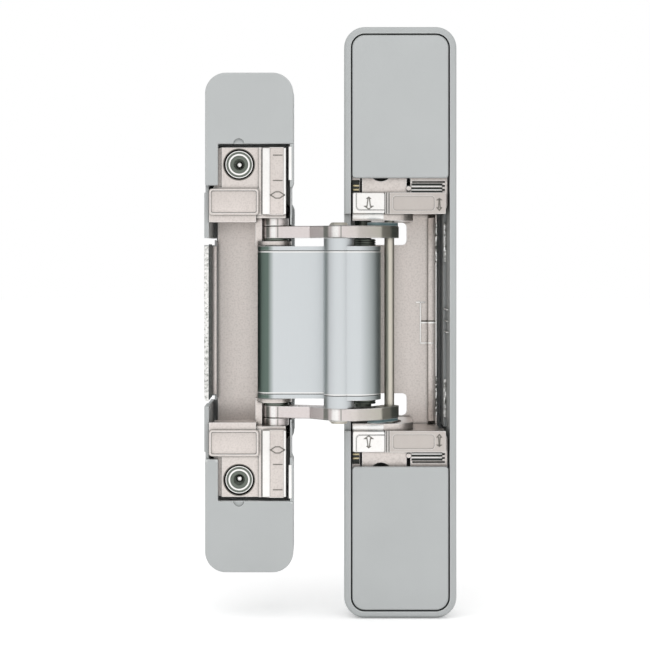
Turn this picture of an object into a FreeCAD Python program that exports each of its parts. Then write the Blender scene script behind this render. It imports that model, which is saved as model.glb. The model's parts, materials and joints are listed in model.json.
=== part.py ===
import FreeCAD, Part
import math
import os

# Concealed door hinge, three-way adjustable, shown open at 180 degrees.
# X runs along both leaf faces, from the door leaf to the frame leaf. Y runs into the mortises. Z is up.
# Depths below are counted from the leaf faces. The finished pieces are moved so that the origin lies
# at the middle of the frame leaf's screw holes, on the back of its end sections.

# How far a cutter runs past a face, and how deep joined shapes lie in each other
PAST = 1.0
LAP = 0.5

# Pivots in plan, as X and depth below the leaf faces
FRAME_PIVOT = (-8.8, 9.0)
CENTRE_PIVOT = (-14.8, -2.8)
DOOR_PIVOT = (-29.9, 5.8)
LONG_PIN = (-2.5, 5.0)
SHORT_PIN = (-31.5, 6.6)
CLOSED_GAP = 5.0
CLOSED_EDGE = -12.0

# Pin sizes and fits
FRAME_PIN_RADIUS = 1.45
CENTRE_PIN_RADIUS = 1.5
DOOR_PIN_RADIUS = 1.5
LONG_PIN_RADIUS = 1.2
SHORT_PIN_RADIUS = 1.2
RUNNING_FIT = 0.05
SEAT_FIT = 0.02
SLIDE_FIT = 0.1
LONG_RUN_COUNT = 10
SHORT_RUN_COUNT = 6

# Link block
BLOCK_HALF = 18.3
CAP_THICKNESS = 1.0
BLOCK_FLAT = 0.5
BLOCK_END_RADIUS = 2.9
BLOCK_SHOULDER = (-13.5, 3.0)
BLOCK_SHOULDER_RADIUS = 4.0
BLOCK_BAR_END = -16.0
BLOCK_KEEL_END = (-13.0, 5.6)
BLOCK_HUMP = (-11.2, 0.3)
BLOCK_HUMP_RADIUS = 6.5
BLOCK_HEEL_RADIUS = 4.1
BLOCK_GROOVE = 0.2
BOSS_RADIUS = 3.6
BOSS_HEIGHT = 1.9
RIVET_DEPTH = 5.0
RIVET_HEAD_RADIUS = 2.4
RIVET_HEAD_HEIGHT = 0.7
RIVET_HEAD_BEVEL = 0.6

# Steel arms
ARM_GAP = 0.1
ARM_THICKNESS = 2.9
ARM_END_RADIUS = 3.0
ARM_MIDDLE = (-20.5, 3.4)
ARM_MIDDLE_RADIUS = 2.5
ARM_LOBE_RADIUS = 2.6
ARM_ARCH = (-11.4, -3.3)
ARM_ARCH_RADIUS = 2.8
ARM_KNEE = (-6.2, -0.6)
ARM_TIP_RADIUS = 2.3
ARM_EDGE = 0.2
SHOE_THICKNESS = 0.8
SHOE_RADIUS = 2.1
SHOE_TAPER = 0.3

# Frame carrier: guide plates, floor, front bars and slide plates
HEIGHT_TRAVEL = 2.5
TRAVEL_GAP = 0.4
CARRIER_SIDE_GAP = 0.4
SHOE_GAP = 0.5
GUIDE_THICKNESS = 1.8
GUIDE_FRONT = 2.4
GUIDE_RIGHT = 3.4
GUIDE_FRONT_RADIUS = 6.0
SPACER_WALL = 0.6
SPACER_GAP = 0.15
LONG_PIN_SHORT = 0.2
FRAME_FLOOR_DEPTH = 22.5
FRAME_FLOOR_THICKNESS = 2.0
FRAME_FLOOR_INSET = 1.9
FRAME_FLOOR_LIP = 1.7
FRAME_FLOOR_LIP_WIDTH = 0.4
FRAME_FLOOR_LIP_SLOPE = 1.8
FRAME_END_WALL = 2.0
FRAME_WINDOW_RIGHT = 2.5
FRAME_WINDOW_GAP = 0.4
FRAME_WINDOW_CORNER = 1.2
BAR_HEIGHT = 5.1
BAR_LAP = 0.2
BAR_FRONT = 0.3
BAR_THICKNESS = 2.1
BAR_SPLIT = -3.7
BAR_INSET = 1.0
BAR_LINE = 0.25
BAR_LINE_DEPTH = 0.4
BAR_LINES = (0.3, 0.85)
BAR_PANEL_START = 1.9
BAR_PANEL_END = 2.7
BAR_PANEL_MARGIN = 0.8
BAR_PANEL_DEPTH = 0.15
END_BLOCK_DEPTH = 10.0
SLIDE_PLATE_FRONT = 3.4
SLIDE_PLATE_THICKNESS = 1.6
SLIDE_PLATE_RIM = 1.5
SLIDE_PLATE_CORNER = 1.5
SLIDE_PLATE_SPLITS = ((-9.4, 0.5), (2.1, 0.9))
RIB_COUNT = 3
RIB_PITCH = 0.95
RIB_GROOVE = 0.5
RIB_DEPTH = 1.1
NUB_RADIUS = 0.55
NUB_HEIGHT = 1.4

# Release sliders
RELEASE_TRAVEL = 1.8
RELEASE_THICKNESS = 1.8
RELEASE_MARGIN = 0.8
RELEASE_LINE = 0.25
RELEASE_LINE_DEPTH = 0.15
RELEASE_CORNER = 0.9
TONGUE_WIDTH = 4.0
TONGUE_HEIGHT = 2.0
TONGUE_DEPTH = 4.0
TONGUE_DROP = 0.7

# Clamp screws of the frame leaf
CLAMP_SCREW_X = -4.6
CLAMP_SHANK_RADIUS = 2.0
CLAMP_HEAD_RADIUS = 3.4
CLAMP_HEAD_HEIGHT = 1.5
CLAMP_SLOT_RADIUS = 2.7
CLAMP_SLOT_SPARE = 0.3
CLAMP_SLOT_SHOW = 0.7
CLAMP_BOSS_RADIUS = 3.6
CLAMP_DRIVE_WIDTH = 0.8
CLAMP_DRIVE_DEPTH = 0.7

# Covers
COVER_SKIN = 1.4
COVER_FRONT = 0.1
COVER_GAP = 0.3
COVER_LEDGE = 1.3
COVER_SKIRT = 1.2
COVER_ROUND = 0.4
COVER_INNER_CORNER = 0.8
COVER_STRIP = 3.5
LEG_THICKNESS = 1.4
LEG_INSET = 3.3
LEG_HALF = 2.2
LEG_GAP = 0.3

# Screw holes under the covers
FIXING_HOLE_RADIUS = 2.4
FIXING_HEAD_RADIUS = 4.4
FIXING_SINK_DEPTH = 1.6
FIXING_BOSS_WALL = 0.6
FIXING_BOSS_HEIGHT = 2.4

# Frame leaf
FRAME_WIDTH = 27.0
FRAME_LENGTH = 142.0
FRAME_CORNER = 5.0
FRAME_RIM = 1.6
FRAME_EDGE_ROUND = 0.8
FRAME_FLANGE_STEP = 0.6
FRAME_FLANGE_DEPTH = 2.4
FRAME_END_DEPTH = 13.0
FRAME_END_FLOOR = 2.0
FRAME_BACK_WALL = 1.4
FRAME_BACK_GAP = 0.6
FRAME_MID_WALL = 1.5
FRAME_MID_CORNER = 3.0
FRAME_POCKET_CORNER = 1.0
FRAME_HOLE_MARGIN = 8.5
FRAME_HOLE_PITCH = 10.5
FRAME_LEDGE_WIDTH = 0.7
FRAME_LEDGE_DEPTH = 14.0
FRAME_BACK_WINDOW_INSET = 2.4
FRAME_BACK_WINDOW_SPARE = 1.5
ARM_RIM_NOTCH = 1.6
LINK_RIM_NOTCH = 13.5
LINK_RIM_GAP = 2.3

# Door carrier: floor, guide plates, nameplate, screw pads and raised bars
DOOR_SIDE_GAP = 1.1
DOOR_TRAVEL = 0.9
DOOR_FLOOR_DEPTH = 20.6
DOOR_FLOOR_THICKNESS = 2.0
DOOR_GUIDE_GAP = 0.2
DOOR_GUIDE_THICKNESS = 1.0
DOOR_GUIDE_NOSE = (-30.4, 6.0)
DOOR_GUIDE_RADIUS = 4.2
DOOR_GUIDE_LENGTH = 2.8
BUSH_HEIGHT = 1.8
BUSH_RADIUS = 3.0
DOOR_PLATE_LEFT = -35.2
DOOR_PLATE_FRONT = 1.6
DOOR_PLATE_THICKNESS = 1.0
COLUMN_RIGHT = -33.4
COLUMN_WIDTH = 1.6
COLUMN_FRONT = 5.4
PIN_HEAD_RADIUS = 3.0
PIN_HEAD_HEIGHT = 0.5
DOOR_END_WALL = 2.0
CARRIER_BACK = 9.7
LIP_HEIGHT = 1.7
LIP_FRONT = 0.9
LIP_DEPTH = 8.0
NAMEPLATE_GAP = 0.1
NAMEPLATE_HEIGHT = 6.4
NAMEPLATE_FRONT = 0.3
NAMEPLATE_THICKNESS = 1.2
NAMEPLATE_FRAME = 0.5
NAMEPLATE_RECESS = 0.25
NAMEPLATE_CORNER = 0.8
PAD_MARGIN = 3.1
PAD_RIGHT = -34.0
PAD_GAP = 0.3
PAD_HEIGHT = 9.6
PAD_FRONT = 1.8
PAD_RELIEF = 2.0
RIDGE_WIDTH = 0.6
RIDGE_HEIGHT = 0.5
DOOR_BAR_LEFT = -33.0
DOOR_BAR_BEVEL = 1.7
DOOR_BAR_STEP = 1.2
DOOR_BAR_EDGE = 0.5

# Eccentric adjusting screws of the door leaf
ADJUST_INSET = 4.2
ADJUST_DROP = 4.1
ADJUST_HEAD_RADIUS = 3.5
ADJUST_HEAD_BEVEL = 0.9
ADJUST_HEAD_SINK = 0.5
ADJUST_HEAD_HEIGHT = 3.2
ADJUST_BORE_GAP = 0.2
ADJUST_SHANK_RADIUS = 2.4
ADJUST_HEX_FLATS = 3.0
ADJUST_HEX_DEPTH = 2.0
ADJUST_HEX_SINK = 0.35
ADJUST_TURN = 60.0
CAM_RADIUS = 1.1
CAM_SHORT = 0.3
CAM_SLOT_SPARE = 1.0

# Door leaf
DOOR_RIGHT = -25.7
DOOR_WIDTH = 21.2
DOOR_LENGTH = 120.0
DOOR_CORNER = 5.0
DOOR_WALL = 0.8
DOOR_END_DEPTH = 12.0
DOOR_END_FLOOR = 2.0
DOOR_BACK_WALL = 1.3
DOOR_BACK_GAP = 0.6
DOOR_MID_CORNER = 3.0
DOOR_MID_GAP = 1.4
DOOR_COVER_GAP = 0.8
DOOR_COVER_CORNER = 0.3
DOOR_STRIP_WIDTH = 3.1
DOOR_STRIP_GAP = 0.4
DOOR_HOLE_MARGIN = 4.8
DOOR_HOLE_PITCH = 7.6
DOOR_LEG_WIDTH = 2.4
DOOR_LEG_THICKNESS = 1.4
DOOR_WALL_GAP = 0.1
DOOR_LINK_NOTCH = 14.0
DOOR_LINK_GAP = 0.3
DOOR_WAIST = 0.45
DOOR_WAIST_FRONT = 2.2
DOOR_WAIST_TAPER = 1.2
DOOR_BULGE = 0.3
DOOR_BULGE_RISE = 1.3
DOOR_LEDGE_WIDTH = 1.2
DOOR_LEDGE_DEPTH = 14.0
DOOR_LEDGE_GAP = 0.3
PRY_RADIUS = 1.3
PRY_DEPTH = 0.5

# Heights stacked up from the link block
cap_start = BLOCK_HALF - CAP_THICKNESS
arm_start = BLOCK_HALF + BOSS_HEIGHT + ARM_GAP
arm_end = arm_start + ARM_THICKNESS
guide_start = arm_end + SHOE_THICKNESS + SHOE_GAP
guide_end = guide_start + GUIDE_THICKNESS
bar_low = guide_end - BAR_LAP
bar_high = bar_low + BAR_HEIGHT
frame_cover_start = bar_high + COVER_STRIP
clamp_reach = HEIGHT_TRAVEL + CLAMP_SLOT_SPARE + CLAMP_SLOT_RADIUS
clamp_z = frame_cover_start - CLAMP_SLOT_SHOW + clamp_reach
slide_plate_end = clamp_z + clamp_reach + SLIDE_PLATE_RIM
frame_pocket_half = bar_high + HEIGHT_TRAVEL + TRAVEL_GAP
frame_mid_half = frame_pocket_half + FRAME_MID_WALL
frame_window_low = BLOCK_HALF + FRAME_WINDOW_GAP
frame_window_high = guide_start - FRAME_WINDOW_GAP / 2
door_guide_start = BLOCK_HALF + DOOR_GUIDE_GAP
door_guide_end = door_guide_start + DOOR_GUIDE_THICKNESS
door_plate_start = arm_end + ARM_GAP + BUSH_HEIGHT
door_plate_end = door_plate_start + DOOR_PLATE_THICKNESS
nameplate_low = door_plate_end - PAD_GAP
nameplate_high = nameplate_low + NAMEPLATE_HEIGHT
pad_low = nameplate_high + PAD_GAP
pad_high = pad_low + PAD_HEIGHT
adjust_z = pad_high - ADJUST_DROP
door_cover_start = pad_high + DOOR_COVER_GAP
door_strip_end = pad_low + DOOR_STRIP_GAP
door_mid_half = nameplate_low + DOOR_END_WALL + DOOR_MID_GAP + DOOR_WALL

# Widths, depths and screw holes
frame_half = FRAME_LENGTH / 2
frame_inner = FRAME_WIDTH / 2 - FRAME_RIM
frame_end_floor = FRAME_END_DEPTH - FRAME_END_FLOOR
frame_floor_back = FRAME_FLOOR_DEPTH + FRAME_FLOOR_THICKNESS
frame_pocket_floor = frame_floor_back + FRAME_BACK_GAP
frame_back = frame_pocket_floor + FRAME_BACK_WALL
frame_holes = (frame_half - FRAME_HOLE_MARGIN, frame_half - FRAME_HOLE_MARGIN - FRAME_HOLE_PITCH)
frame_left = -frame_inner + CARRIER_SIDE_GAP
bar_right = frame_inner - BAR_INSET
frame_floor_right = frame_inner - FRAME_FLOOR_INSET
slide_plate_back = SLIDE_PLATE_FRONT + SLIDE_PLATE_THICKNESS
case_ledge = slide_plate_back + SLIDE_FIT
door_half = DOOR_LENGTH / 2
door_left = DOOR_RIGHT - DOOR_WIDTH
door_middle = DOOR_RIGHT - DOOR_WIDTH / 2
door_inner_left = door_left + DOOR_WALL
door_inner_right = DOOR_RIGHT - DOOR_WALL
door_end_floor = DOOR_END_DEPTH - DOOR_END_FLOOR
door_floor_back = DOOR_FLOOR_DEPTH + DOOR_FLOOR_THICKNESS
door_pocket_floor = door_floor_back + DOOR_BACK_GAP
door_back = door_pocket_floor + DOOR_BACK_WALL
door_holes = (door_half - DOOR_HOLE_MARGIN, door_half - DOOR_HOLE_MARGIN - DOOR_HOLE_PITCH)
door_wall_front = COVER_SKIN + DOOR_WALL_GAP + SLIDE_FIT
carrier_left = door_inner_left + DOOR_SIDE_GAP
carrier_right = door_inner_right - DOOR_SIDE_GAP
nameplate_left = door_inner_left + NAMEPLATE_GAP
pad_left = door_inner_left + PAD_MARGIN
adjust_x = pad_left + ADJUST_INSET
adjust_head_front = PAD_FRONT + ADJUST_HEAD_SINK
adjust_head_back = adjust_head_front + ADJUST_HEAD_HEIGHT
cam_offset = DOOR_TRAVEL / math.sin(math.radians(ADJUST_TURN))


def vector(x, y, z):
    """A point or a direction."""
    return FreeCAD.Vector(x, y, z)


def turned(point, centre, degrees):
    """A plan point turned about a plan centre."""
    angle = math.radians(degrees)
    across = point[0] - centre[0]
    deep = point[1] - centre[1]
    x = centre[0] + across * math.cos(angle) - deep * math.sin(angle)
    y = centre[1] + across * math.sin(angle) + deep * math.cos(angle)
    return (x, y)


def bearing(start, end):
    """Direction from one plan point to another, in degrees."""
    return math.degrees(math.atan2(end[1] - start[1], end[0] - start[0]))


def closing_turns():
    """Turns of the frame, centre and door pivots that bring the door leaf from open to closed."""
    turn_x = (DOOR_RIGHT + CLOSED_EDGE) / 2
    turn_y = -CLOSED_GAP / 2
    door_closed = (2 * turn_x - DOOR_PIVOT[0], 2 * turn_y - DOOR_PIVOT[1])
    inner_link = math.dist(FRAME_PIVOT, CENTRE_PIVOT)
    outer_link = math.dist(CENTRE_PIVOT, DOOR_PIVOT)
    reach = math.dist(FRAME_PIVOT, door_closed)
    along = (inner_link ** 2 - outer_link ** 2 + reach ** 2) / (2 * reach)
    aside = math.sqrt(inner_link ** 2 - along ** 2)
    unit = ((door_closed[0] - FRAME_PIVOT[0]) / reach, (door_closed[1] - FRAME_PIVOT[1]) / reach)
    centre_closed = (FRAME_PIVOT[0] + along * unit[0] - aside * unit[1],
                     FRAME_PIVOT[1] + along * unit[1] + aside * unit[0])
    block_turn = (bearing(FRAME_PIVOT, centre_closed) - bearing(FRAME_PIVOT, CENTRE_PIVOT)) % 360
    arm_turn = (bearing(centre_closed, door_closed) - bearing(CENTRE_PIVOT, DOOR_PIVOT)) % 360
    return block_turn, arm_turn - block_turn, 180 - arm_turn


block_swing, arm_swing, door_swing = closing_turns()


def long_pin_place(share):
    """Where the long pin lies in the frame leaf when the hinge is closed by a share from 0 to 1."""
    on_block = turned(LONG_PIN, CENTRE_PIVOT, arm_swing * share)
    return turned(on_block, FRAME_PIVOT, block_swing * share)


def short_pin_place(share):
    """Where the short pin lies in the door leaf when the hinge is closed by a share from 0 to 1."""
    on_arm = turned(SHORT_PIN, CENTRE_PIVOT, -arm_swing * share)
    return turned(on_arm, DOOR_PIVOT, -door_swing * share)


def box(x0, x1, y0, y1, z0, z1):
    """A box between two corners."""
    return Part.makeBox(x1 - x0, y1 - y0, z1 - z0, vector(x0, y0, z0))


def rod_z(centre, radius, z0, z1):
    """A round rod along Z about a plan point."""
    return Part.makeCylinder(radius, z1 - z0, vector(centre[0], centre[1], z0))


def rod_y(x, z, radius, y0, y1):
    """A round rod along Y."""
    return Part.makeCylinder(radius, y1 - y0, vector(x, y0, z), vector(0, 1, 0))


def cone_y(x, z, radius0, radius1, y0, y1):
    """A cone along Y from one radius to another."""
    return Part.makeCone(radius0, radius1, y1 - y0, vector(x, y0, z), vector(0, 1, 0))


def front_plate(corners, y0, y1):
    """A plate with the front outline given by the X, Z and rounding of each corner in turn."""
    arcs = []
    for index, (x, z, radius) in enumerate(corners):
        last = corners[index - 1]
        following = corners[(index + 1) % len(corners)]
        here = vector(x, y0, z)
        back = (vector(last[0], y0, last[1]) - here).normalize()
        onward = (vector(following[0], y0, following[1]) - here).normalize()
        half_angle = back.getAngle(onward) / 2
        reach = radius / math.tan(half_angle)
        inward = (back + onward).normalize()
        middle = here + inward * (radius / math.sin(half_angle) - radius)
        arcs.append((here + back * reach, middle, here + onward * reach))
    edges = [Part.Arc(*arc).toShape() for arc in arcs]
    edges += [Part.makeLine(arcs[index - 1][2], arc[0]) for index, arc in enumerate(arcs)]
    return Part.Face(Part.Wire(Part.__sortEdges__(edges))).extrude(vector(0, y1 - y0, 0))


def rounded_block(x0, x1, z0, z1, y0, y1, radius):
    """A block with its four corners rounded in the front view."""
    return front_plate([(x0, z0, radius), (x1, z0, radius), (x1, z1, radius), (x0, z1, radius)], y0, y1)


def softened(plate, radius):
    """A plate with the edges of its front face rounded."""
    front = plate.BoundBox.YMin + SEAT_FIT
    return plate.makeFillet(radius, [edge for edge in plate.Edges if edge.BoundBox.YMax < front])


def capsule(first, first_radius, second, second_radius):
    """Plan face of two circles joined by their outer tangents."""
    span = math.dist(first, second)
    heading = math.atan2(second[1] - first[1], second[0] - first[0])
    lean = math.acos((first_radius - second_radius) / span)

    def rim(centre, radius, angle):
        return vector(centre[0] + radius * math.cos(angle), centre[1] + radius * math.sin(angle), 0)

    left0 = rim(first, first_radius, heading + lean)
    right0 = rim(first, first_radius, heading - lean)
    left1 = rim(second, second_radius, heading + lean)
    right1 = rim(second, second_radius, heading - lean)
    back = rim(first, first_radius, heading + math.pi)
    front = rim(second, second_radius, heading)
    edges = [Part.Arc(left0, back, right0).toShape(), Part.makeLine(right0, right1),
             Part.Arc(right1, front, left1).toShape(), Part.makeLine(left1, left0)]
    return Part.Face(Part.Wire(edges))


def joined(shapes):
    """Several overlapping shapes as one, without the seams."""
    return shapes[0].fuse(shapes[1:]).removeSplitter()


def plan_plate(face, z0, z1):
    """A plan face made a plate between two heights."""
    plate = face.extrude(vector(0, 0, z1 - z0))
    plate.translate(vector(0, 0, z0))
    return plate


def plan_polygon(points, z0, z1):
    """A plan polygon made a plate between two heights."""
    outline = Part.makePolygon([vector(x, y, 0) for x, y in points + points[:1]])
    return plan_plate(Part.Face(outline), z0, z1)


def guide_slot(place, half_width, run_count, z0, z1):
    """Slot along the path of a pin, made of straight runs with round ends."""
    points = [place(index / run_count) for index in range(run_count + 1)]
    lanes = [capsule(points[index], half_width, points[index + 1], half_width) for index in range(run_count)]
    return joined([plan_plate(lane, z0, z1) for lane in lanes])


def mirrored(shape):
    """The same shape on the other side of mid height."""
    return shape.mirror(vector(0, 0, 0), vector(0, 0, 1))


def cut_both(shape, cutter):
    """A shape with a cutter and its mirror image below mid height taken away."""
    return shape.cut([cutter, mirrored(cutter)])


def fixing_hole(x, z, y0, y1):
    """Countersunk through hole for a wood screw, cut from front to back."""
    hole = rod_y(x, z, FIXING_HOLE_RADIUS, y0 - PAST, y1 + PAST)
    sink = cone_y(x, z, FIXING_HEAD_RADIUS, FIXING_HOLE_RADIUS, y0, y0 + FIXING_SINK_DEPTH)
    return hole.fuse(sink)


def frame_case():
    """Case of the frame leaf: trim flange, shallow end sections and a deep middle pocket."""
    half = FRAME_WIDTH / 2
    body_half = half - FRAME_FLANGE_STEP
    body_length = frame_half - FRAME_FLANGE_STEP
    cover_half = frame_half - FRAME_RIM
    inner_corner = FRAME_CORNER - FRAME_RIM
    end_inner = frame_inner - COVER_LEDGE
    flange = rounded_block(-half, half, -frame_half, frame_half, 0, FRAME_FLANGE_DEPTH, FRAME_CORNER)
    ends = rounded_block(-body_half, body_half, -body_length, body_length, LAP, FRAME_END_DEPTH,
                         FRAME_CORNER - FRAME_FLANGE_STEP)
    middle = rounded_block(-body_half, body_half, -frame_mid_half, frame_mid_half, LAP, frame_back,
                           FRAME_MID_CORNER)
    case = joined([softened(flange, FRAME_EDGE_ROUND), ends, middle])
    case = case.cut(rounded_block(-frame_inner, frame_inner, -cover_half, cover_half, -PAST, case_ledge,
                                  inner_corner))
    case = case.cut(rounded_block(-end_inner, end_inner, COVER_LEDGE - cover_half, cover_half - COVER_LEDGE,
                                  case_ledge - PAST, frame_end_floor, inner_corner - COVER_LEDGE))
    boss_front = frame_end_floor - FIXING_BOSS_HEIGHT
    for z in frame_holes:
        boss = rod_y(0, z, FIXING_HEAD_RADIUS + FIXING_BOSS_WALL, boss_front, FRAME_END_DEPTH)
        case = case.fuse([boss, mirrored(boss)])
    clamp_boss = rod_y(CLAMP_SCREW_X, clamp_z, CLAMP_BOSS_RADIUS, case_ledge, FRAME_END_DEPTH)
    case = case.fuse([clamp_boss, mirrored(clamp_boss)])
    case = case.cut(rounded_block(-frame_inner, frame_inner, -frame_pocket_half, frame_pocket_half, -PAST,
                                  frame_pocket_floor, FRAME_POCKET_CORNER))
    ledge = box(frame_inner - FRAME_LEDGE_WIDTH, frame_inner + LAP, FRAME_LEDGE_DEPTH,
                frame_pocket_floor + LAP, -guide_end, guide_end)
    case = case.fuse(ledge)
    window_left = -frame_inner + FRAME_BACK_WINDOW_INSET
    window_right = FRAME_WINDOW_RIGHT + FRAME_BACK_WINDOW_SPARE
    case = cut_both(case, rounded_block(window_left, window_right, frame_window_low - HEIGHT_TRAVEL,
                                        frame_window_high + HEIGHT_TRAVEL, frame_pocket_floor - PAST,
                                        frame_back + PAST, FRAME_WINDOW_CORNER))
    link_notch = arm_start + HEIGHT_TRAVEL + LINK_RIM_GAP - BOSS_HEIGHT - ARM_GAP
    case = case.cut(box(-half - PAST, -frame_inner + SEAT_FIT, -PAST, LINK_RIM_NOTCH,
                        -link_notch, link_notch))
    arm_notch = arm_end + HEIGHT_TRAVEL + TRAVEL_GAP
    case = case.cut(box(-half - PAST, -frame_inner + SEAT_FIT, -PAST, ARM_RIM_NOTCH, -arm_notch, arm_notch))
    case = cut_both(case, rod_y(CLAMP_SCREW_X, clamp_z, CLAMP_SHANK_RADIUS + SEAT_FIT,
                                case_ledge - PAST, frame_end_floor + LAP))
    for z in frame_holes:
        case = cut_both(case, fixing_hole(0, z, boss_front, FRAME_END_DEPTH))
    return case


def cover_legs(places, thickness, z, half_height, front, back):
    """Two straight snap legs on the back of a cover."""
    legs = []
    for x in places:
        legs.append(box(x - thickness / 2, x + thickness / 2, front, back, z - half_height, z + half_height))
    return legs


def frame_cover():
    """Upper plastic cover of the frame leaf: a thin lid with a skirt and two snap legs."""
    side = frame_inner - COVER_GAP
    top = frame_half - FRAME_RIM - COVER_GAP
    corner = FRAME_CORNER - FRAME_RIM - COVER_GAP
    lid_back = COVER_FRONT + COVER_SKIN
    skirt_start = slide_plate_end + HEIGHT_TRAVEL + TRAVEL_GAP
    lid = front_plate([(-side, frame_cover_start, COVER_INNER_CORNER),
                       (side, frame_cover_start, COVER_INNER_CORNER),
                       (side, top, corner), (-side, top, corner)], COVER_FRONT, lid_back)
    outer = rounded_block(-side, side, skirt_start, top, lid_back - LAP, slide_plate_back, corner)
    inner_side = side - COVER_SKIRT
    inner = rounded_block(-inner_side, inner_side, skirt_start + COVER_SKIRT, top - COVER_SKIRT,
                          0, slide_plate_back + PAST, corner - COVER_SKIRT)
    leg_x = frame_inner - LEG_INSET
    legs = cover_legs((-leg_x, leg_x), LEG_THICKNESS, sum(frame_holes) / 2, LEG_HALF, lid_back - LAP,
                      frame_end_floor - LEG_GAP)
    return joined([softened(lid, COVER_ROUND), outer.cut(inner)] + legs)


def clamp_screw():
    """Upper screw that clamps the frame carrier at its height."""
    head_front = SLIDE_PLATE_FRONT - CLAMP_HEAD_HEIGHT
    head = rod_y(CLAMP_SCREW_X, clamp_z, CLAMP_HEAD_RADIUS, head_front, SLIDE_PLATE_FRONT)
    shank = rod_y(CLAMP_SCREW_X, clamp_z, CLAMP_SHANK_RADIUS, SLIDE_PLATE_FRONT - LAP, frame_end_floor)
    reach = CLAMP_HEAD_RADIUS + PAST
    drive_half = CLAMP_DRIVE_WIDTH / 2
    drive = box(CLAMP_SCREW_X - reach, CLAMP_SCREW_X + reach, 0, head_front + CLAMP_DRIVE_DEPTH,
                clamp_z - drive_half, clamp_z + drive_half)
    return joined([head, shank]).cut(drive)


def frame_floor():
    """Floor of the frame carrier with its slanted lip and the two windows."""
    lip_front = FRAME_FLOOR_DEPTH - FRAME_FLOOR_LIP
    lip_left = frame_floor_right - FRAME_FLOOR_LIP_WIDTH
    floor = plan_polygon([(frame_left, FRAME_FLOOR_DEPTH),
                          (lip_left - FRAME_FLOOR_LIP_SLOPE, FRAME_FLOOR_DEPTH),
                          (lip_left, lip_front), (frame_floor_right, lip_front),
                          (frame_floor_right, frame_floor_back), (frame_left, frame_floor_back)],
                         -guide_end, guide_end)
    window = front_plate([(frame_left - PAST, frame_window_low, LAP),
                          (FRAME_WINDOW_RIGHT, frame_window_low, FRAME_WINDOW_CORNER),
                          (FRAME_WINDOW_RIGHT, frame_window_high, FRAME_WINDOW_CORNER),
                          (frame_left - PAST, frame_window_high, LAP)],
                         FRAME_FLOOR_DEPTH - PAST, frame_floor_back + PAST)
    return cut_both(floor, window)


def guide_plate():
    """Upper guide plate: rounded front corner, hole for the frame pin and slot of the long pin."""
    corner = (GUIDE_RIGHT - GUIDE_FRONT_RADIUS, GUIDE_FRONT + GUIDE_FRONT_RADIUS)
    nose = rod_z(corner, GUIDE_FRONT_RADIUS, guide_start, guide_end)
    front = box(frame_left, corner[0], GUIDE_FRONT, frame_floor_back, guide_start, guide_end)
    back = box(corner[0] - LAP, GUIDE_RIGHT, corner[1], frame_floor_back, guide_start, guide_end)
    return joined([front, back, nose])


def frame_carrier():
    """Die-cast carrier of the frame leaf, which holds the frame pin and guides the long pin."""
    end_wall = box(frame_left, frame_floor_right, GUIDE_FRONT, frame_floor_back,
                   guide_end, guide_end + FRAME_END_WALL)
    end_block = box(frame_left, bar_right, BAR_FRONT + BAR_THICKNESS, END_BLOCK_DEPTH, guide_end, bar_high)
    inner_half = frame_inner - CARRIER_SIDE_GAP
    slide_plate = rounded_block(-inner_half, inner_half, guide_end + LAP, slide_plate_end,
                                SLIDE_PLATE_FRONT, slide_plate_back, SLIDE_PLATE_CORNER)
    end = joined([guide_plate(), end_wall, end_block, slide_plate])
    end = end.cut(rounded_block(CLAMP_SCREW_X - CLAMP_SLOT_RADIUS, CLAMP_SCREW_X + CLAMP_SLOT_RADIUS,
                                clamp_z - clamp_reach, clamp_z + clamp_reach, SLIDE_PLATE_FRONT - PAST,
                                slide_plate_back + PAST, CLAMP_SLOT_RADIUS - SEAT_FIT))
    for x, width in SLIDE_PLATE_SPLITS:
        end = end.cut(box(x - width / 2, x + width / 2, SLIDE_PLATE_FRONT - PAST, slide_plate_back + PAST,
                          bar_high, frame_cover_start + RIB_PITCH))
    left_split = SLIDE_PLATE_SPLITS[0]
    right_split = SLIDE_PLATE_SPLITS[1]
    for rib in range(RIB_COUNT):
        z = bar_high + RIB_GROOVE + rib * RIB_PITCH
        end = end.cut(box(right_split[0] + right_split[1], bar_right, SLIDE_PLATE_FRONT - PAST,
                          SLIDE_PLATE_FRONT + RIB_DEPTH, z, z + RIB_GROOVE))
        end = end.cut(box(-inner_half - PAST, left_split[0] - left_split[1], SLIDE_PLATE_FRONT - PAST,
                          SLIDE_PLATE_FRONT + RIB_DEPTH, z, z + RIB_GROOVE))
    nub = rod_y(right_split[0], bar_high + 2 * NUB_RADIUS, NUB_RADIUS, SLIDE_PLATE_FRONT - NUB_RADIUS,
                SLIDE_PLATE_FRONT + NUB_HEIGHT)
    nub_foot = box(right_split[0] - NUB_RADIUS, right_split[0] + NUB_RADIUS, SLIDE_PLATE_FRONT + LAP,
                   SLIDE_PLATE_FRONT + NUB_HEIGHT, bar_high - LAP, bar_high + 2 * NUB_RADIUS)
    end = joined([end, nub, nub_foot])
    tongue_x = (frame_left + BAR_SPLIT) / 2
    tongue_top = bar_high - TONGUE_DROP
    end = end.cut(box(tongue_x - TONGUE_WIDTH / 2 - SLIDE_FIT, tongue_x + TONGUE_WIDTH / 2 + SLIDE_FIT,
                      0, BAR_FRONT + RELEASE_THICKNESS + TONGUE_DEPTH + SLIDE_FIT,
                      tongue_top - TONGUE_HEIGHT - RELEASE_TRAVEL - SLIDE_FIT, tongue_top + SLIDE_FIT))
    end = end.cut(guide_slot(long_pin_place, LONG_PIN_RADIUS + RUNNING_FIT, LONG_RUN_COUNT,
                             guide_start - PAST, guide_end))
    end = end.cut(rod_z(FRAME_PIVOT, FRAME_PIN_RADIUS + SEAT_FIT, guide_start - PAST, guide_end))
    return joined([frame_floor(), end, mirrored(end)])


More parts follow.
